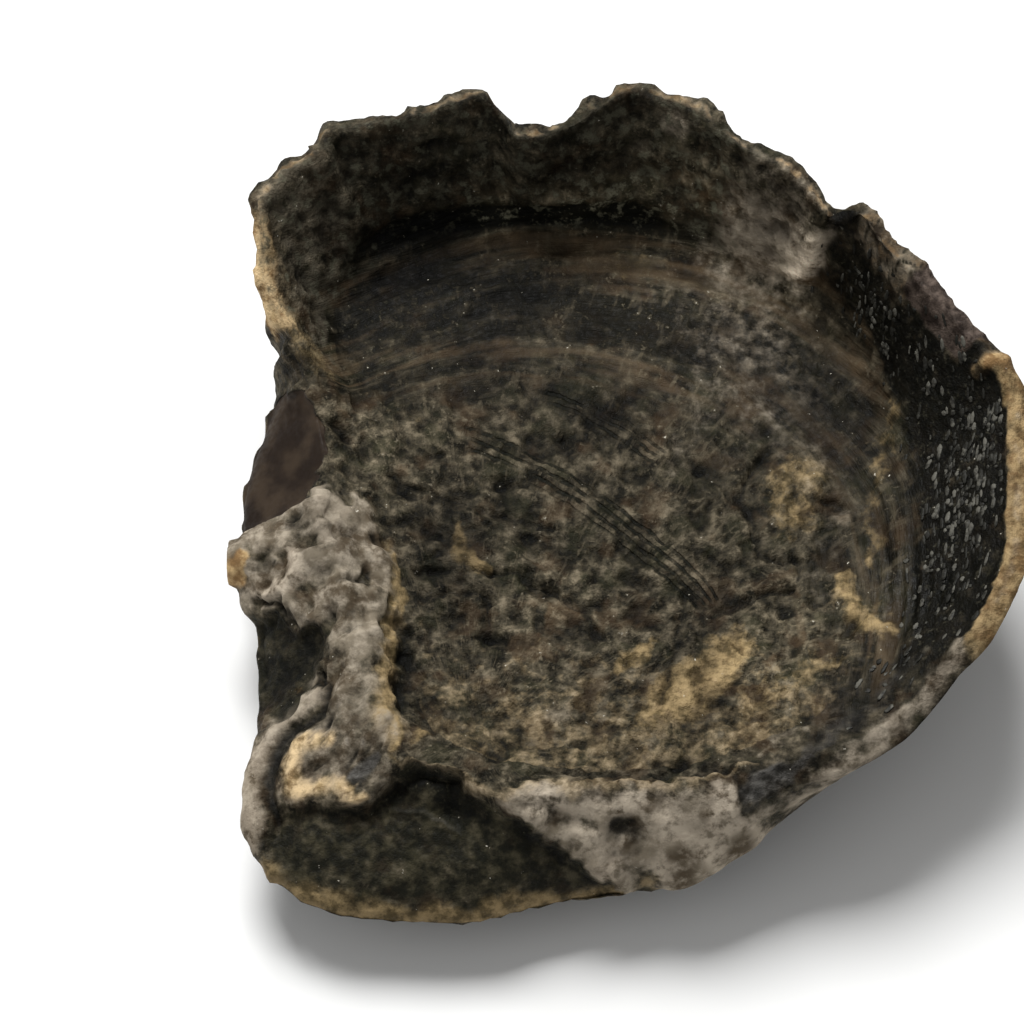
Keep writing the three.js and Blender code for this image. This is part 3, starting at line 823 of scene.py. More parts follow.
# A crack in the crust, cut in and painted dark: painted shade in it.
crust_crack = stroke([(-33.1, -8.1), (-31.4, -9.5), (-29, -11.5)], 0.3)
detail -= 0.4 * crust_crack
lay(black_and_shade, 0.7 * crust_crack)
nub = stroke([(-36.4, -5.9), (-34.9, -5.8), (-33.8, -5.3)], 0.9)
lay(ochre, 1.1 * nub)

pocket = patch([(-32.6, -10.6), (-28.4, -12.2), (-27.6, -15.6), (-29, -19.6), (-31, -19.8), (-34, -14)], 0.5)
lay(moss, 0.72 * pocket)
lay(black_and_shade, 0.3 * pocket)
detail -= 0.8 * pocket
chalk *= 1 - pocket

fleck = patch([(-31.2, 11.2), (-29.6, 10.9), (-29.8, 9.8), (-30.8, 9.4)], 0.2)
lay(chalk, 0.8 * fleck)
detail += 0.25 * fleck
# A crease at the foot of the facet, cut in and painted dark: painted shade in it.
facet_foot = stroke([(-37, -0.6), (-33, -0.2), (-29.6, 0.4), (-27.4, 4)], 0.35)
detail -= 0.3 * facet_foot
lay(black_and_shade, 0.6 * facet_foot)

# ---------------------------------------------------------------------------------------------
# The beak at the near left, curled in on itself: a pale outer band, a dark groove, a tan core
# and a small blue-grey lens. It ends in a shelf that steps down to the dark swollen lobe.
# ---------------------------------------------------------------------------------------------

OUTER_BAND = [
    (-26.6, -18.6), (-28, -19.6), (-30.2, -20.4), (-31.9, -22.3), (-32.8, -25), (-33.1, -28),
    (-32.4, -31.4), (-30.6, -34),
]
DARK_GROOVE = [(-26, -20.6), (-28.2, -21.4), (-30, -22.2), (-30.9, -23.9), (-31.2, -26.4), (-30.8, -29.6)]
CORE = [
    (-25.6, -23.6), (-27.7, -23.5), (-29.1, -24), (-29.3, -25.6), (-28.6, -27.1), (-25.4, -27.9),
    (-22.7, -28),
]
BEAK_FACE = [
    (-24, -18.4), (-27.4, -19.6), (-30.9, -23), (-31.2, -27), (-28.6, -28.9), (-22.2, -28.9), (-20.2, -27),
    (-20.4, -23),
]
beak_face = patch(BEAK_FACE, 0.6)
lay(chalk, 0.52 * beak_face)
black_and_shade *= 1 - 0.9 * beak_face
outer_band = stroke(OUTER_BAND, 1.25)
dark_groove = stroke(DARK_GROOVE, 0.75)
core = stroke(CORE, 1.2)
core_groove = stroke([(-27.2, -25.9), (-25, -25.5), (-23, -24.9), (-21.2, -24.9)], 0.4)
lens = stroke([(-24.2, -26.5), (-22.9, -26.3), (-21.4, -25.9)], 0.9)
gloss_highlight = stroke([(-24.6, -24.3), (-23.2, -24), (-22, -24.5)], 0.55)
blue_white_highlight = stroke([(-25.4, -19.6), (-24.9, -21.8)], 0.7)
beak_hook = stroke([(-26.9, -16.9), (-26, -17.8), (-26.3, -19.1), (-26.9, -20.2)], 0.5)
beak_slot = stroke([(-26.1, -19.9), (-26, -23)], 0.5)
detail += 0.7 * outer_band - 0.6 * dark_groove + 0.5 * core + 0.3 * gloss_highlight + 0.25 * blue_white_highlight
detail -= 0.45 * core_groove + 0.3 * lens + 0.9 * beak_hook + 0.7 * beak_slot
chalk = np.maximum(chalk * (1 - dark_groove) * (1 - lens), 1.05 * outer_band)
# The outer band is painted paler still: painted light on its side away from the lamp.
lay(pale_and_lit, 0.42 * outer_band)
# Pale blue-white marks on the glossy beak: painted highlights.
lay(chalk, np.maximum(0.8 * gloss_highlight, 0.7 * blue_white_highlight))
lay(chalk, 0.9 * spot_at((-28.1, -17.2), 0.8))
# The hook, the slot and the small groove are dented and painted near black: painted shade in them.
shaded_parts = np.maximum(np.maximum(beak_hook, beak_slot), 0.8 * core_groove)
black_and_shade = np.maximum(black_and_shade * (1 - outer_band), np.maximum(0.6 * dark_groove, 0.85 * shaded_parts))
lay(tan, core)
lay(ochre, 0.6 * core)
chalk *= 1 - 0.2 * core
lay(pale_and_lit, 0.8 * core)
ochre = np.maximum(ochre * (1 - lens), 0.8 * spot_at((-29.2, -17.9), 0.5))
tan *= 1 - lens
lay(glossy, np.maximum(0.8 * lens, np.maximum(gloss_highlight, blue_white_highlight)))
slate = np.maximum(np.maximum(0.85 * lens, 0.5 * gloss_highlight), np.maximum(0.5 * dark_groove, 0.5 * blue_white_highlight))

# The upper layer ends along this line, and the lobe lies below it on the near side.
SHELF_EDGE = [
    (-36, -31), (-32.6, -30.6), (-30, -28.6), (-26, -28.9), (-22.7, -28.8), (-21.1, -28), (-20, -26.6),
    (-18.1, -26.4), (-15.6, -27.5), (-12.4, -29.2), (-10.7, -30.2), (-7.6, -31.6), (-5, -32.7),
    (-2.4, -34), (1.1, -35.2), (4, -38),
]
edge_x, edge_y = through(SHELF_EDGE).T
below_edge = np.interp(plan[:, 0], edge_x, edge_y) - plan[:, 1]
in_reach = smooth(-33.4, -30.6, x) * smooth(3.6, 0.4, x) * (z > 1) * smooth(-0.35, 0.1, facing[:, 2])
lobe = smooth(-0.1, 0.35, below_edge) * in_reach
shelf_drop = np.interp(x, [-33, -30, -24, -20.5, -15, -11, -4, 3], [0.2, 1.1, 1.3, 2.4, 2.5, 1.2, 1.6, 1.0])
fall = lobe * shelf_drop * np.exp(-np.clip(below_edge, 0, 99) / 5.5)
# Painted shadow on the lobe just under the shelf's edge.
shadow_under_shelf = lobe * smooth(1.3, 0.3, below_edge) * smooth(-29, -26, x)
# The dark hinge cavity under the shelf: painted shade.
shaded_cavity = stroke([(-21, -28.6), (-19.3, -27.3), (-17.4, -27.3), (-15.2, -28.6), (-12.4, -30.6)], 1.2)
cavity_streak = stroke([(-20.9, -29), (-18.7, -28.9), (-16.4, -29.7), (-14.2, -31)], 0.5)
black_and_shade = np.maximum(black_and_shade * (1 - lobe), np.maximum(0.6 * shadow_under_shelf, 0.7 * shaded_cavity)) * (1 - 0.7 * cavity_streak)
lay(slate, 0.6 * cavity_streak)
detail += 0.3 * cavity_streak
chalk *= 1 - lobe
ochre *= 1 - lobe
tan *= 1 - lobe
lay(tan, 0.12 * lobe * smooth(0.1, 0.7, stone_noise(place, 3.4, 16)))
lay(moss, 0.72 * lobe)
lay(chalk, 0.7 * stroke([(-25.5, -29.4), (-23.4, -29.9), (-21.8, -29.7)], 0.4))
lobe_foot = lobe * smooth(9.7, 7.3, z + 0.9 * wandering[:, 2])
lay(tan, 0.82 * lobe_foot)
moss *= 1 - 0.7 * lobe_foot

# ---------------------------------------------------------------------------------------------
# The hinge edge: a thin tan line along the near edge of the hollow, and below it a mass of pale
# grey lime with a dark hole, a glossy blue-black oval and a pale outer band on the right.
# ---------------------------------------------------------------------------------------------

HINGE_LINE = [
    (-19.4, -26.1), (-17.7, -26.3), (-15.5, -27.6), (-13.3, -28.5), (-11.1, -29.3), (-8.5, -29.2),
    (-2.5, -28.8), (3.6, -28.9), (8, -27.8), (11.4, -26.6),
]
hinge_line = stroke(HINGE_LINE, 0.55) * (1 - lobe)
detail += 0.2 * hinge_line
white_tip = spot_at((-10.7, -29.8), 0.6)
lay(tan, 0.6 * hinge_line)
lay(ochre, 0.25 * hinge_line)
lay(chalk, 0.5 * np.maximum(hinge_line, 1.5 * white_tip))
inner_shadow = stroke([(-8, -27.6), (-2, -27.3), (4, -27.6), (8.6, -26.9)], 0.7)
detail -= 0.4 * inner_shadow
lay(black_and_shade, 0.45 * inner_shadow)

MASS = [
    (-11, -29.9), (-6, -29), (1, -29.3), (6.2, -29.2), (9, -28), (10, -29.9), (13.2, -29.2), (16.4, -27.5),
    (20, -25.1), (24.4, -21.4), (24.4, -24), (18, -29.4), (11, -34), (6.4, -37), (1.8, -37.8), (-2.4, -34.6),
    (-7.6, -31.9),
]
mass = patch(MASS, 1.1) * (1 - lobe)
mass_lumps = 0.6 - pebbles(place, 3.4, 5)
mass_right = smooth(8, 15, x)
detail += mass * (0.3 + 0.6 * mass_lumps) * (1 - 0.8 * mass_right)
lay(chalk, mass * (0.9 + 0.4 * mass_lumps - 0.14 * mass_right))
mass_cloud = smooth(-0.5, 0.4, stone_noise(place, 3.4, 27))
# The mass is painted paler in clouds: partly pale lime, partly painted light on its side away from the lamp.
lay(pale_and_lit, mass * (0.9 + 0.5 * mass_lumps) * mass_cloud * (1 - 0.4 * mass_right))
lay(tan, 0.5 * mass * smooth(0, 0.7, stone_noise(place, 4.4, 27)))
black_and_shade *= 1 - mass
# A hole in the mass, dented and painted dark: painted shade in it.
hole = spot_at((-0.3, -31.7), 1.3, 0.9)
detail -= 0.85 * hole
lay(black_and_shade, 0.8 * hole)
brown_spot = spot_at((2, -34.6), 1.9, 1.1)
detail -= 0.4 * brown_spot
chalk *= 1 - 0.9 * brown_spot
lay(tan, 0.35 * brown_spot)
mass_hollow = stroke([(-8.6, -30.2), (-5.4, -30.6), (-2.6, -30.9)], 0.8)
detail -= 0.5 * mass_hollow
chalk *= 1 - 0.5 * mass_hollow

DARK_OVAL = [
    (9.6, -29.4), (10, -28.3), (11.6, -27.5), (13.8, -26.6), (15.8, -26), (15.2, -27.3), (13.2, -28.6),
    (11.2, -29.6),
]
dark_oval = patch(DARK_OVAL, 0.75)
lay(black_and_shade, 0.5 * dark_oval)
lay(slate, 0.85 * dark_oval)
lay(glossy, 0.7 * dark_oval)
chalk *= 1 - 0.9 * dark_oval
detail -= 0.25 * dark_oval
dark_strip = stroke([(15.2, -26.2), (17.4, -24.4), (20, -22.3), (23, -20), (26.4, -15.8)], 1.5)
inner_light = stroke([(11.8, -25.6), (14.6, -23.8), (17.6, -21.6), (20, -19.4)], 0.9)
outer_right = stroke([(11, -31.8), (15.6, -29.6), (19.4, -26.8), (22.8, -24.2), (26.2, -21), (29, -17)], 1.3)
chalk *= 1 - 0.85 * dark_strip
lay(black_and_shade, 0.36 * dark_strip)
lay(slate, 0.44 * dark_strip)
tan *= 1 - 0.7 * dark_strip
lay(chalk, np.maximum(0.42 * inner_light, 0.26 * smooth_side * (1 - dark_strip)))
lay(chalk, 0.8 * outer_right)
lay(pale_and_lit, 0.45 * outer_right)
black_and_shade *= 1 - 0.8 * outer_right

# ---------------------------------------------------------------------------------------------
# The outside: swollen, with stepped growth layers round the beak, faint ribs, and the wear and
# brown staining of a stone that has lain in clay.
# ---------------------------------------------------------------------------------------------

LAYER_SPACING = 3.6
layer_count = (outside_age + 1.1 * stone_noise(place, 9, 17)) / LAYER_SPACING
layer_step = layer_count - np.floor(layer_count)
worn = smooth(0, 6, z)
step_height = 0.36 + 0.4 * smooth(-14, 6, y)
outside_relief = step_height * (smooth(0, 0.85, layer_step) - smooth(0.85, 1, layer_step))
outside_relief += 0.16 * stone_noise(growth * (1, 0.4, 0.4), 1.1, 18)
outside_relief += 0.12 * np.cos(way * 46 + 1.2 * stone_noise(place, 8, 19))
outside_relief += 0.15 * lump_middle + 0.2 * lump_broad + 0.1 * lump_fine
outside_relief -= 0.5 * smooth(0.45, 0.9, stone_noise(place, 3.1, 21))
outside_relief *= (0.3 + 0.7 * worn) * (1 - 0.5 * smooth(3.5, 7.5, z) * smooth(16, 8, y))
outer_side = (1 - inside) * (1 - from_above * smooth(0, 4, z))
lay(chalk, 0.32 * outer_side * smooth(0.1, 0.75, stone_noise(growth * (1, 0.6, 0.6), 5.5, 22)))
lay(tan, 0.45 * outer_side * smooth(0, 0.7, stone_noise(place, 5.2, 23)))
worn_layer = outer_side * smooth(0.5, 0.82, layer_step) * smooth(0.98, 0.9, layer_step)
lay(chalk, 0.36 * worn_layer)
# Each layer's drop is painted darker: painted shade on the step.
lay(black_and_shade, 0.5 * outer_side * smooth(0.9, 0.99, layer_step))

# ---------------------------------------------------------------------------------------------
# The finished surface of the valve: the relief of all these features put on the bare form,
# kept within the bare form's size, and the masks that tell the stone where each colour goes.
# ---------------------------------------------------------------------------------------------

calm = (1 - 0.93 * facet) * flat_right * (1 - 0.6 * dark_oval) * (1 - 0.5 * lens)
crust = np.clip(ridge + mass + outer_band + core + 0.7 * beak_face, 0, 1)
calm *= (1 - 0.5 * crust) * (1 - 0.5 * np.clip(tan_edge + backlit_ochre_edge, 0, 1)) * (1 - 0.75 * smooth_side)
surface_relief = inside * hollow_relief + (1 - inside) * outside_relief * (1 - 0.65 * lobe)
relief = calm * surface_relief + detail * (1 - 0.9 * facet)
moved = place + facing * relief[:, None]
moved[:, 2] -= fall
moved[:, 2] = np.where(place[:, 2] <= 0, 0, np.maximum(moved[:, 2], 0))
low = np.array(cad_low) / MM
high = np.array(cad_high) / MM
moved = np.clip(moved, low, high)
valve_mesh.vertices.foreach_set("co", (moved * MM).astype(np.float32).ravel())
valve_mesh.shade_smooth()
valve_mesh.update()

# How high each place stands in its relief, 0 to 1. The shader paints the hollows darker and the crests paler
# from it: painted shade and highlight.
relief_for_shade = smooth(-0.6, 0.75, calm * surface_relief + 0.35 * detail)

# Where the hollow is made darker or paler: painted shade along the foot of the far wall, and stains and
# paler patches elsewhere. Each spot: the middle, the reach, how many times lighter.
SHADE_AND_STAIN_SPOTS = [
    ((-18, 28, 13), 6, 0.36),  # painted shade at the upper left of the floor, below the far wall
    ((-8, 26, 12), 6, 0.66),  # and painted shade on along the wall's foot
    ((-19, 30.5, 15), 3, 2.2),  # the foot of the far wall, where it isn't in the floor's shadow
    ((-12, 32, 15), 3.4, 4),
    ((-4, 32, 15.5), 3.6, 4),
    ((3, 31.5, 17), 4.6, 2.6),  # the paler end of the far wall, up to the notch
    ((9, 31, 20.5), 4.4, 2.4),
    ((18.5, 24, 20), 3.4, 2.6),
    ((17, 24, 15.5), 3, 3),
    ((11, 27, 13), 3, 1.9),
    ((0, 20.5, 12), 4.6, 1.5),  # the pale crumples above the middle
    ((-23, 6, 14.5), 5, 1.6),  # dust beside the chipped face
    ((-2, 11.5, 12.5), 3.6, 0.45),  # dark dips in the middle of the floor
    ((-12, 15, 12.5), 3.4, 0.55),
    ((-16, -5, 13), 4, 0.45),
    ((19, 11, 12.5), 4.2, 0.38),  # the dark bands on the right
    ((16, -12, 13), 4, 2.2),  # the paler lower right, up to the hinge
    ((11, -17, 13), 4, 1.5),
    ((20.5, -20.5, 15.5), 3.6, 0.48),  # the dark corner after it
    ((7, -14, 13), 3.2, 0.6),  # the clay patch's thin upper end
    ((-6, -10, 12.5), 4, 1.7),  # pale crumples at the lower left
    ((-9, -15.5, 13), 4, 1.25),
    ((-29, -4, 15), 4, 0.64),  # the ridge's grimy outer side
]
tone = np.zeros(len(place))
for centre, reach, times in SHADE_AND_STAIN_SPOTS:
    tone += math.log(times) * knob(centre, reach)
tone = np.exp(tone * inside)

masks = {
    "tan": tan, "ochre": ochre, "chalk": chalk, "black_and_shade": black_and_shade, "moss": moss, "glossy": glossy,
    "slate": slate, "facet": facet, "high": relief_for_shade, "scratch": scratch_mask, "pink": pink_rim,
    "scratch_count": scratch_count, "far_wall": far_wall, "pale_and_lit": pale_and_lit,
    "crust": np.maximum(crust, 0.75 * lobe), "tone": tone,
    "lined": lined * inside + 0.7 * outer_side * (1 - crust),
}
for name, values in masks.items():
    layer = valve_mesh.attributes.new(name, "FLOAT", "POINT")
    layer.data.foreach_set("value", values.astype(np.float32))
growth_layer = valve_mesh.attributes.new("growth", "FLOAT_VECTOR", "POINT")
growth_layer.data.foreach_set("vector", growth.astype(np.float32).ravel())

valve = bpy.data.objects.new("fossil_valve", valve_mesh)
bpy.context.collection.objects.link(valve)
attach(valve, "root")
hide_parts("fossil_shell")

# ---------------------------------------------------------------------------------------------
# The fossil stone: dark brown-grey lime stone, mottled and flecked, with tan clay, white crust,
# ochre broken edges and near-black glossy layers. Its colour also holds painted shade in dents,
# hollows and at the wall's foot, painted highlights on crests, painted glints and a painted glow.
# ---------------------------------------------------------------------------------------------


def paint(red, green, blue):
    """A colour as seen, 0 to 255, turned into light values."""
    light = [c / 255 / 12.92 if c <= 10 else ((c / 255 + 0.055) / 1.055) ** 2.4 for c in (red, green, blue)]
    return (*light, 1)


class Nodes:
    """Adds nodes to a material or a group, and joins them as they are made."""

    def __init__(self, tree):
        self.tree = tree

    def add(self, kind, settings=None, **inputs):
        made = self.tree.nodes.new("ShaderNode" + kind)
        for name, value in (settings or {}).items():
            setattr(made, name, value)
        for name, value in inputs.items():
            key = int(name[1:]) if name[0] == "n" and name[1:].isdigit() else name.replace("_", " ")
            self.put(made.inputs[key], value)
        return made

    def put(self, socket, value):
        if isinstance(value, bpy.types.NodeSocket):
            self.tree.links.new(value, socket)
        elif isinstance(value, bpy.types.Node):
            self.tree.links.new(value.outputs[0], socket)
        else:
            socket.default_value = value

    def math(self, operation, a, b=0.0, clamp=False):
        made = self.add("Math", {"operation": operation, "use_clamp": clamp})
        self.put(made.inputs[0], a)
        self.put(made.inputs[1], b)
        return made.outputs[0]

    def mix(self, share, a, b, blend="MIX"):
        made = self.add("Mix", {"data_type": "RGBA", "blend_type": blend, "clamp_factor": True})
        self.put(made.inputs[0], share)
        self.put(made.inputs[6], a)
        self.put(made.inputs[7], b)
        return made.outputs[2]

    def blend(self, share, a, b):
        made = self.add("Mix", {"data_type": "FLOAT", "clamp_factor": True})
        self.put(made.inputs[0], share)
        self.put(made.inputs[2], a)
        self.put(made.inputs[3], b)
        return made.outputs[0]

    def scaled(self, vector, factor):
        made = self.add("VectorMath", {"operation": "MULTIPLY"})
        self.put(made.inputs[0], vector)
        made.inputs[1].default_value = factor if isinstance(factor, tuple) else (factor,) * 3
        return made.outputs[0]

    def noise(self, vector, scale, detail=4.0, roughness=0.6, away=0.0):
        if away:
            vector = self.add("VectorMath", {"operation": "ADD"}, n0=vector, n1=(away, away, away)).outputs[0]
        made = self.add("TexNoise", Vector=vector, Scale=scale, Detail=detail, Roughness=roughness)
        return made.outputs["Fac"]

    def ramp(self, value, low, high, out_low=0.0, out_high=1.0):
        made = self.add("MapRange", {"interpolation_type": "SMOOTHSTEP", "clamp": True})
        self.put(made.inputs[0], value)
        for number, setting in enumerate((low, high, out_low, out_high)):
            self.put(made.inputs[number + 1], setting)
        return made.outputs[0]

    def attribute(self, name):
        return self.add("Attribute", {"attribute_name": name, "attribute_type": "GEOMETRY"})


# Weathering: frays the edge of a mask with a noise, so that no patch ends in a drawn line.
weathering = bpy.data.node_groups.new("weathered_edge", "ShaderNodeTree")
weathering.interface.new_socket("Mask", in_out="INPUT", socket_type="NodeSocketFloat")
weathering.interface.new_socket("Noise", in_out="INPUT", socket_type="NodeSocketFloat")
weathering.interface.new_socket("Raggedness", in_out="INPUT", socket_type="NodeSocketFloat")
weathering.interface.new_socket("Mask", in_out="OUTPUT", socket_type="NodeSocketFloat")
group = Nodes(weathering)
entry = weathering.nodes.new("NodeGroupInput")
leave = weathering.nodes.new("NodeGroupOutput")
centred = group.math("SUBTRACT", entry.outputs["Noise"], 0.5)
pushed = group.math("MULTIPLY", centred, entry.outputs["Raggedness"])
shifted = group.math("ADD", entry.outputs["Mask"], pushed)
group.put(leave.inputs["Mask"], group.ramp(shifted, 0.2, 0.8))

stone = bpy.data.materials.new("fossil_stone")
stone.use_nodes = True
stone.node_tree.nodes.clear()
s = Nodes(stone.node_tree)
spot_mm = s.scaled(s.add("TexCoord").outputs["Object"], 1000.0)
growth_mm = s.attribute("growth").outputs["Vector"]

mottle = s.noise(spot_mm, 0.68, 4.0, 0.62)
tint = s.noise(spot_mm, 0.27, 3.0, 0.55, 31.0)
speck = s.noise(spot_mm, 1.8, 3.0, 0.6)
ragged = s.noise(spot_mm, 0.8, 4.0, 0.62, 11.0)
streak = s.noise(s.scaled(growth_mm, (1.0, 0.95, 0.95)), 0.8, 4.0, 0.66)
band = s.noise(s.scaled(growth_mm, (1.0, 0.45, 0.45)), 0.4, 2.0, 0.55)
fibre = s.noise(s.scaled(growth_mm, (0.5, 6.0, 6.0)), 1.0, 2.0, 0.55)
lined = s.attribute("lined").outputs["Fac"]
high = s.attribute("high").outputs["Fac"]


def weathered(name, raggedness=1.2, noise=ragged):
    made = s.add("Group")
    made.node_tree = weathering
    s.put(made.inputs["Mask"], s.attribute(name).outputs["Fac"])
    s.put(made.inputs["Noise"], noise)
    made.inputs["Raggedness"].default_value = raggedness
    return made.outputs["Mask"]


# The bare stone: dark, with paler crests painted as highlight, brown and olive clouds, and bands along the
# old margins.
pattern = s.blend(s.math("MULTIPLY", lined, 0.6), mottle, streak)
pattern = s.math("SUBTRACT", pattern, s.math("MULTIPLY", lined, 0.022))
colour = s.mix(s.ramp(pattern, 0.38, 0.6), paint(20, 18, 11), paint(69, 63, 50))
colour = s.mix(s.ramp(pattern, 0.53, 0.7, 0.0, 0.85), colour, paint(116, 106, 88))
colour = s.mix(s.ramp(tint, 0.52, 0.66, 0.0, 0.5), colour, paint(66, 51, 35))
colour = s.mix(s.ramp(tint, 0.48, 0.34, 0.0, 0.5), colour, paint(42, 42, 27))
colour = s.mix(s.math("MULTIPLY", s.ramp(band, 0.46, 0.58, 0.0, 0.85), lined), colour, paint(11, 10, 4))
colour = s.mix(s.math("MULTIPLY", s.ramp(band, 0.46, 0.34, 0.0, 0.55), lined), colour, paint(90, 75, 56))
# Pale fibres and flecks show only on the crests: partly pale grains, partly painted highlight on the raised
# relief.
lit_fibre = s.math("MULTIPLY", s.ramp(fibre, 0.53, 0.7), s.ramp(high, 0.3, 0.8, 0.0, 0.4))
colour = s.mix(lit_fibre, colour, paint(100, 91, 74))
fleck_share = s.math("MULTIPLY", s.ramp(speck, 0.56, 0.7), s.ramp(high, 0.3, 0.85, 0.0, 0.45))
colour = s.mix(fleck_share, colour, paint(118, 109, 91))

tan_colour = s.mix(s.ramp(mottle, 0.36, 0.62), paint(88, 75, 50), paint(158, 136, 98))
colour = s.mix(s.math("MULTIPLY", weathered("tan", 1.3), 0.86), colour, tan_colour)

chalk_colour = s.mix(s.ramp(tint, 0.6, 0.42), paint(84, 73, 58), paint(124, 114, 98))
chalk_colour = s.mix(s.ramp(mottle, 0.42, 0.7), chalk_colour, paint(164, 153, 136))
# Extra paleness: partly the pale lime's own, and on the hinge mass, the beak's outer band and the fold streak
# it is painted light for sides that face away from the lamp; on the ochre edge it is a painted glow.
pale_and_lit_share = s.math("MULTIPLY", s.attribute("pale_and_lit").outputs["Fac"], s.ramp(ragged, 0.34, 0.56))
chalk_colour = s.mix(pale_and_lit_share, chalk_colour, paint(192, 179, 160))
chalk_mask = weathered("chalk", 1.1)
colour = s.mix(s.math("MULTIPLY", chalk_mask, 0.92), colour, chalk_colour)

ochre_colour = s.mix(s.ramp(mottle, 0.38, 0.66), paint(128, 100, 66), paint(190, 162, 118))
ochre_colour = s.mix(pale_and_lit_share, ochre_colour, paint(236, 208, 162))
ochre_mask = weathered("ochre", 0.9)
colour = s.mix(ochre_mask, colour, ochre_colour)

slate_colour = s.mix(s.ramp(mottle, 0.35, 0.7), paint(54, 51, 46), paint(114, 111, 106))
colour = s.mix(weathered("slate", 0.5), colour, slate_colour)
moss_colour = s.mix(s.ramp(mottle, 0.4, 0.66), paint(23, 23, 15), paint(52, 49, 34))
colour = s.mix(s.math("MULTIPLY", weathered("moss"), 0.8), colour, moss_colour)
# Near black: the black stone, and the painted shade in dents, under the shelf and at the wall's foot.
black_and_shade_colour = s.mix(s.ramp(speck, 0.56, 0.72), paint(9, 9, 6), paint(50, 48, 38))
colour = s.mix(s.math("MULTIPLY", weathered("black_and_shade", 1.0), 0.93), colour, black_and_shade_colour)
far_wall = s.attribute("far_wall").outputs["Fac"]
wall_fleck = s.math("MULTIPLY", s.ramp(ragged, 0.52, 0.66, 0.0, 0.62), far_wall)
colour = s.mix(wall_fleck, colour, paint(92, 90, 75))
pink_colour = s.mix(s.ramp(mottle, 0.36, 0.66), paint(44, 36, 31), paint(104, 91, 82))
colour = s.mix(weathered("pink", 0.8), colour, pink_colour)
facet_mask = s.ramp(s.attribute("facet").outputs["Fac"], 0.3, 0.7)
facet_colour = s.mix(s.ramp(tint, 0.38, 0.62), paint(32, 24, 18), paint(54, 44, 34))
colour = s.mix(facet_mask, colour, facet_colour)

scratch = s.attribute("scratch").outputs["Fac"]
scratch_wave = s.math("SINE", s.math("MULTIPLY", s.attribute("scratch_count").outputs["Fac"], 2 * math.pi))
scratch_line = s.math("MULTIPLY", s.ramp(scratch_wave, -0.1, 0.8), s.ramp(scratch, 0.05, 0.9))
scratch_dark = s.math("MULTIPLY", scratch_line, s.ramp(ragged, 0.36, 0.56, 0.35, 0.92))
colour = s.mix(scratch_dark, colour, paint(19, 20, 14))

# Painted shade and light from the relief: the colour is made darker in the hollows and paler on the crests,
# less on the crust and the facet, then times the tone spots.
crust_mask = s.attribute("crust").outputs["Fac"]
still = s.math("MAXIMUM", facet_mask, s.math("MULTIPLY", crust_mask, 0.5))
shade = s.blend(still, s.ramp(high, 0.05, 0.8, 0.38, 1.06), 1.0)
shade = s.math("MULTIPLY", shade, s.attribute("tone").outputs["Fac"])
shade_colour = s.add("CombineColor", Red=shade, Green=shade, Blue=shade).outputs[0]
colour = s.mix(1.0, colour, shade_colour, "MULTIPLY")
# Painted glints: tiny near-white sparkles mixed into the colour, and smoother there.
glint = s.math("MULTIPLY", s.ramp(speck, 0.72, 0.77), s.math("SUBTRACT", 1.0, facet_mask))
colour = s.mix(s.math("MULTIPLY", glint, 0.8), colour, paint(206, 200, 186))

grain = s.noise(s.scaled(growth_mm, (1.0, 0.7, 0.7)), 1.5, 3.0, 0.65)
crumple = s.noise(spot_mm, 1.35, 4.0, 0.66)
height = s.blend(s.math("MULTIPLY", lined, 0.65), crumple, grain)
height = s.math("SUBTRACT", height, s.math("MULTIPLY", scratch_line, 0.3))
quiet = s.math("SUBTRACT", 1.04, s.math("MAXIMUM", facet_mask, s.math("MULTIPLY", crust_mask, 0.6)))
height = s.math("MULTIPLY", height, quiet)
bump = s.add("Bump", Height=height)
bump.inputs["Strength"].default_value = 1.0
bump.inputs["Distance"].default_value = 0.4 * MM

rough = s.ramp(speck, 0.3, 0.7, 0.5, 0.8)
rough = s.math("SUBTRACT", rough, s.math("MULTIPLY", s.attribute("glossy").outputs["Fac"], 0.26))
rough = s.math("ADD", rough, s.math("MULTIPLY", s.math("MAXIMUM", chalk_mask, ochre_mask), 0.16))
rough = s.math("SUBTRACT", rough, s.math("MULTIPLY", glint, 0.3), clamp=True)
surface = s.add("BsdfPrincipled", Base_Color=colour, Roughness=rough, Normal=bump)
surface.inputs["Specular IOR Level"].default_value = 0.1
surface.inputs["IOR"].default_value = 1.5
s.add("OutputMaterial", Surface=surface)
valve_mesh.materials.append(stone)

# ---------------------------------------------------------------------------------------------
# The grains on the black right wall: small long lumps of white lime, half sunk in the stone,
# lying nearly level along the wall. They are densest high up and thin out towards the hinge.
# ---------------------------------------------------------------------------------------------

GRAIN_SIDES = 8
GRAIN_RINGS = 5
GRAIN_FLATNESS = 0.34
GRAIN_LIFT = 0.02
# A cluster: the middle bearing and its spread, the middle height up the wall and its spread, the count.
GRAIN_CLUSTERS = [
    (4, 9, 0.72, 0.16, 150), (352, 9, 0.6, 0.2, 120), (44, 6, 0.45, 0.18, 80), (30, 8, 0.6, 0.2, 44),
    (338, 8, 0.6, 0.22, 54), (325, 9, 0.55, 0.25, 26),
]
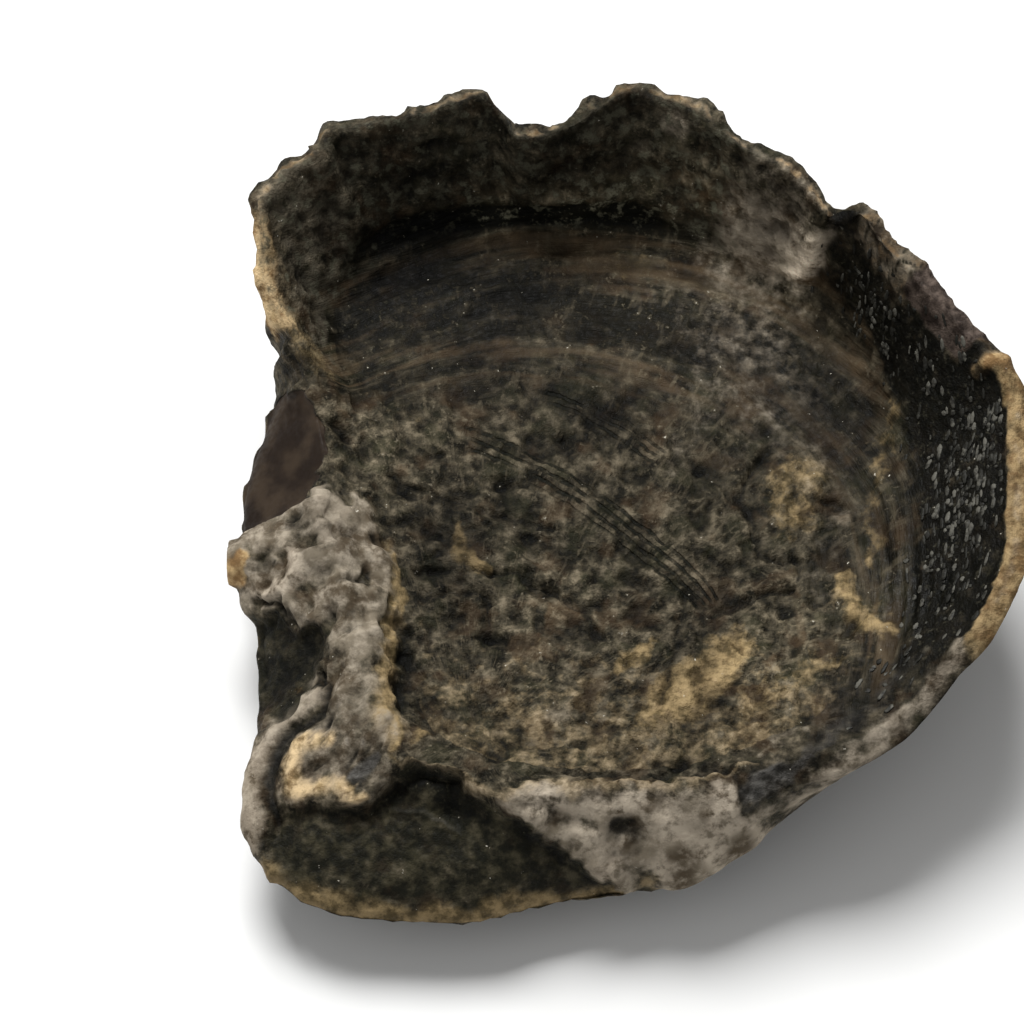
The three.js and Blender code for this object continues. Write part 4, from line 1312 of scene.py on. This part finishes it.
# How steeply the grains climb the wall, from level at the hinge side to upright under the notch.
GRAIN_BEARINGS = [-40, -20, 0, 20, 44]
GRAIN_LEANS = [0, 0.05, 0.23, 0.6, 1.4]
grain_dice = np.random.default_rng(7)
wall_numbers = np.array(row_numbers[1:WALL_ROWS + 1])
grain_points = []
grain_faces = []
paleness = []
for middle, spread, level, level_spread, count in GRAIN_CLUSTERS:
    for _ in range(count):
        at_bearing = grain_dice.normal(middle, spread) % 360
        up_wall = np.clip(grain_dice.normal(level, level_spread), 0.12, 0.96)
        length = 0.18 + 0.6 * grain_dice.random() ** 1.5
        width = 0.12 + 0.2 * grain_dice.random() ** 1.4
        turned = (at_bearing + 180) % 360 - 180
        lean = np.interp(turned, GRAIN_BEARINGS, GRAIN_LEANS) + grain_dice.normal(0, 0.14)
        grain_paleness = grain_dice.random() ** 1.2
        wall_row = wall_numbers[int(up_wall * (WALL_ROWS - 1))]
        column = int(at_bearing / 360 * len(wall_row)) % len(wall_row)
        number = wall_row[column]
        beside = wall_row[(column + 2) % len(wall_row)]
        out = facing[number]
        level_way = moved[beside] - moved[number]
        level_way -= out * (level_way @ out)
        level_way /= np.linalg.norm(level_way)
        up_way = np.cross(level_way, out)
        long_way = level_way * math.cos(lean) + up_way * math.sin(lean) * np.sign(up_way[2])
        cross_way = np.cross(out, long_way)
        centre = moved[number] + out * GRAIN_LIFT
        first = len(grain_points)
        bend = grain_dice.normal(0, 0.25)
        for ring_step in range(GRAIN_RINGS + 2):
            share = ring_step / (GRAIN_RINGS + 1) * 2 - 1
            girth = math.sqrt(max(0, 1 - share**2))
            sides = 1 if abs(share) == 1 else GRAIN_SIDES
            swell = grain_dice.uniform(0.75, 1.2)
            for side in range(sides):
                angle = 2 * math.pi * side / GRAIN_SIDES
                across = girth * swell * width * math.cos(angle) + bend * width * (1 - share**2)
                proud = girth * swell * width * GRAIN_FLATNESS * math.sin(angle)
                grain_points.append(centre + long_way * share * length + cross_way * across + out * proud)
                paleness.append(grain_paleness)
        for side in range(GRAIN_SIDES):
            after = (side + 1) % GRAIN_SIDES
            grain_faces.append((first, first + 1 + after, first + 1 + side))
            for ring_step in range(GRAIN_RINGS - 1):
                a = first + 1 + ring_step * GRAIN_SIDES
                grain_faces.append((a + side, a + after, a + GRAIN_SIDES + after, a + GRAIN_SIDES + side))
            tip = first + 1 + GRAIN_RINGS * GRAIN_SIDES
            a = tip - GRAIN_SIDES
            grain_faces.append((a + side, a + after, tip))

grain_mesh = bpy.data.meshes.new("wall_grains")
grain_mesh.from_pydata((np.array(grain_points) * MM).tolist(), [], grain_faces)
grain_mesh.shade_smooth()
pale_layer = grain_mesh.attributes.new("pale", "FLOAT", "POINT")
pale_layer.data.foreach_set("value", paleness)
grain_mesh.update()
grains = bpy.data.objects.new("wall_grains", grain_mesh)
bpy.context.collection.objects.link(grains)
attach(grains, "root")

lime = bpy.data.materials.new("white_lime")
lime.use_nodes = True
lime.node_tree.nodes.clear()
w = Nodes(lime.node_tree)
lime_mm = w.scaled(w.add("TexCoord").outputs["Object"], 1000.0)
lime_cloud = w.noise(lime_mm, 0.8, 4.0, 0.6)
lime_speck = w.noise(lime_mm, 2.6, 3.0, 0.6)
lime_pale = w.math("MULTIPLY", w.attribute("pale").outputs["Fac"], w.ramp(lime_cloud, 0.34, 0.6, 0.35, 1.0))
lime_edge = w.add("Group")
lime_edge.node_tree = weathering
w.put(lime_edge.inputs["Mask"], lime_pale)
w.put(lime_edge.inputs["Noise"], lime_speck)
lime_edge.inputs["Raggedness"].default_value = 0.8
lime_colour = w.mix(lime_edge.outputs["Mask"], paint(30, 29, 24), paint(92, 90, 82))
lime_bump = w.add("Bump", Height=lime_speck)
lime_bump.inputs["Distance"].default_value = 0.12 * MM
lime_rough = w.ramp(lime_speck, 0.3, 0.7, 0.5, 0.75)
lime_surface = w.add("BsdfPrincipled", Base_Color=lime_colour, Roughness=lime_rough, Normal=lime_bump)
lime_surface.inputs["Specular IOR Level"].default_value = 0.25
w.add("OutputMaterial", Surface=lime_surface)
grain_mesh.materials.append(lime)

# ---------------------------------------------------------------------------------------------
# The floor and the light: a plain pale ground, a wide soft lamp behind and above the far rim,
# and weaker fills in front.
# ---------------------------------------------------------------------------------------------

ground_mesh = bpy.data.meshes.new("ground")
GROUND = 3.0
ground_corners = [(-GROUND, -GROUND, 0), (GROUND, -GROUND, 0), (GROUND, GROUND, 0), (-GROUND, GROUND, 0)]
ground_mesh.from_pydata(ground_corners, [], [(0, 1, 2, 3)])
ground = bpy.data.objects.new("ground", ground_mesh)
bpy.context.collection.objects.link(ground)
ground_paper = bpy.data.materials.new("pale_paper")
ground_paper.use_nodes = True
paper = ground_paper.node_tree.nodes["Principled BSDF"]
paper.inputs["Base Color"].default_value = (0.86, 0.86, 0.85, 1)
paper.inputs["Roughness"].default_value = 0.9
paper.inputs["Specular IOR Level"].default_value = 0.1
ground_mesh.materials.append(ground_paper)


def soft_lamp(name, where, size, watts):
    data = bpy.data.lights.new(name, "AREA")
    data.size = size
    data.energy = watts
    lamp = bpy.data.objects.new(name, data)
    lamp.location = where
    lamp.rotation_euler = (Vector((0, 0, 0.012)) - Vector(where)).to_track_quat("-Z", "Y").to_euler()
    bpy.context.collection.objects.link(lamp)


soft_lamp("key", (-0.12, 0.34, 0.62), 0.3, 6.2)
soft_lamp("fill", (-0.5, -0.3, 0.5), 0.6, 0.5)

world = bpy.data.worlds.new("studio")
world.use_nodes = True
world.node_tree.nodes["Background"].inputs["Color"].default_value = (1, 1, 1, 1)
world.node_tree.nodes["Background"].inputs["Strength"].default_value = 0.3
bpy.context.scene.world = world
bpy.context.scene.view_settings.view_transform = "Standard"
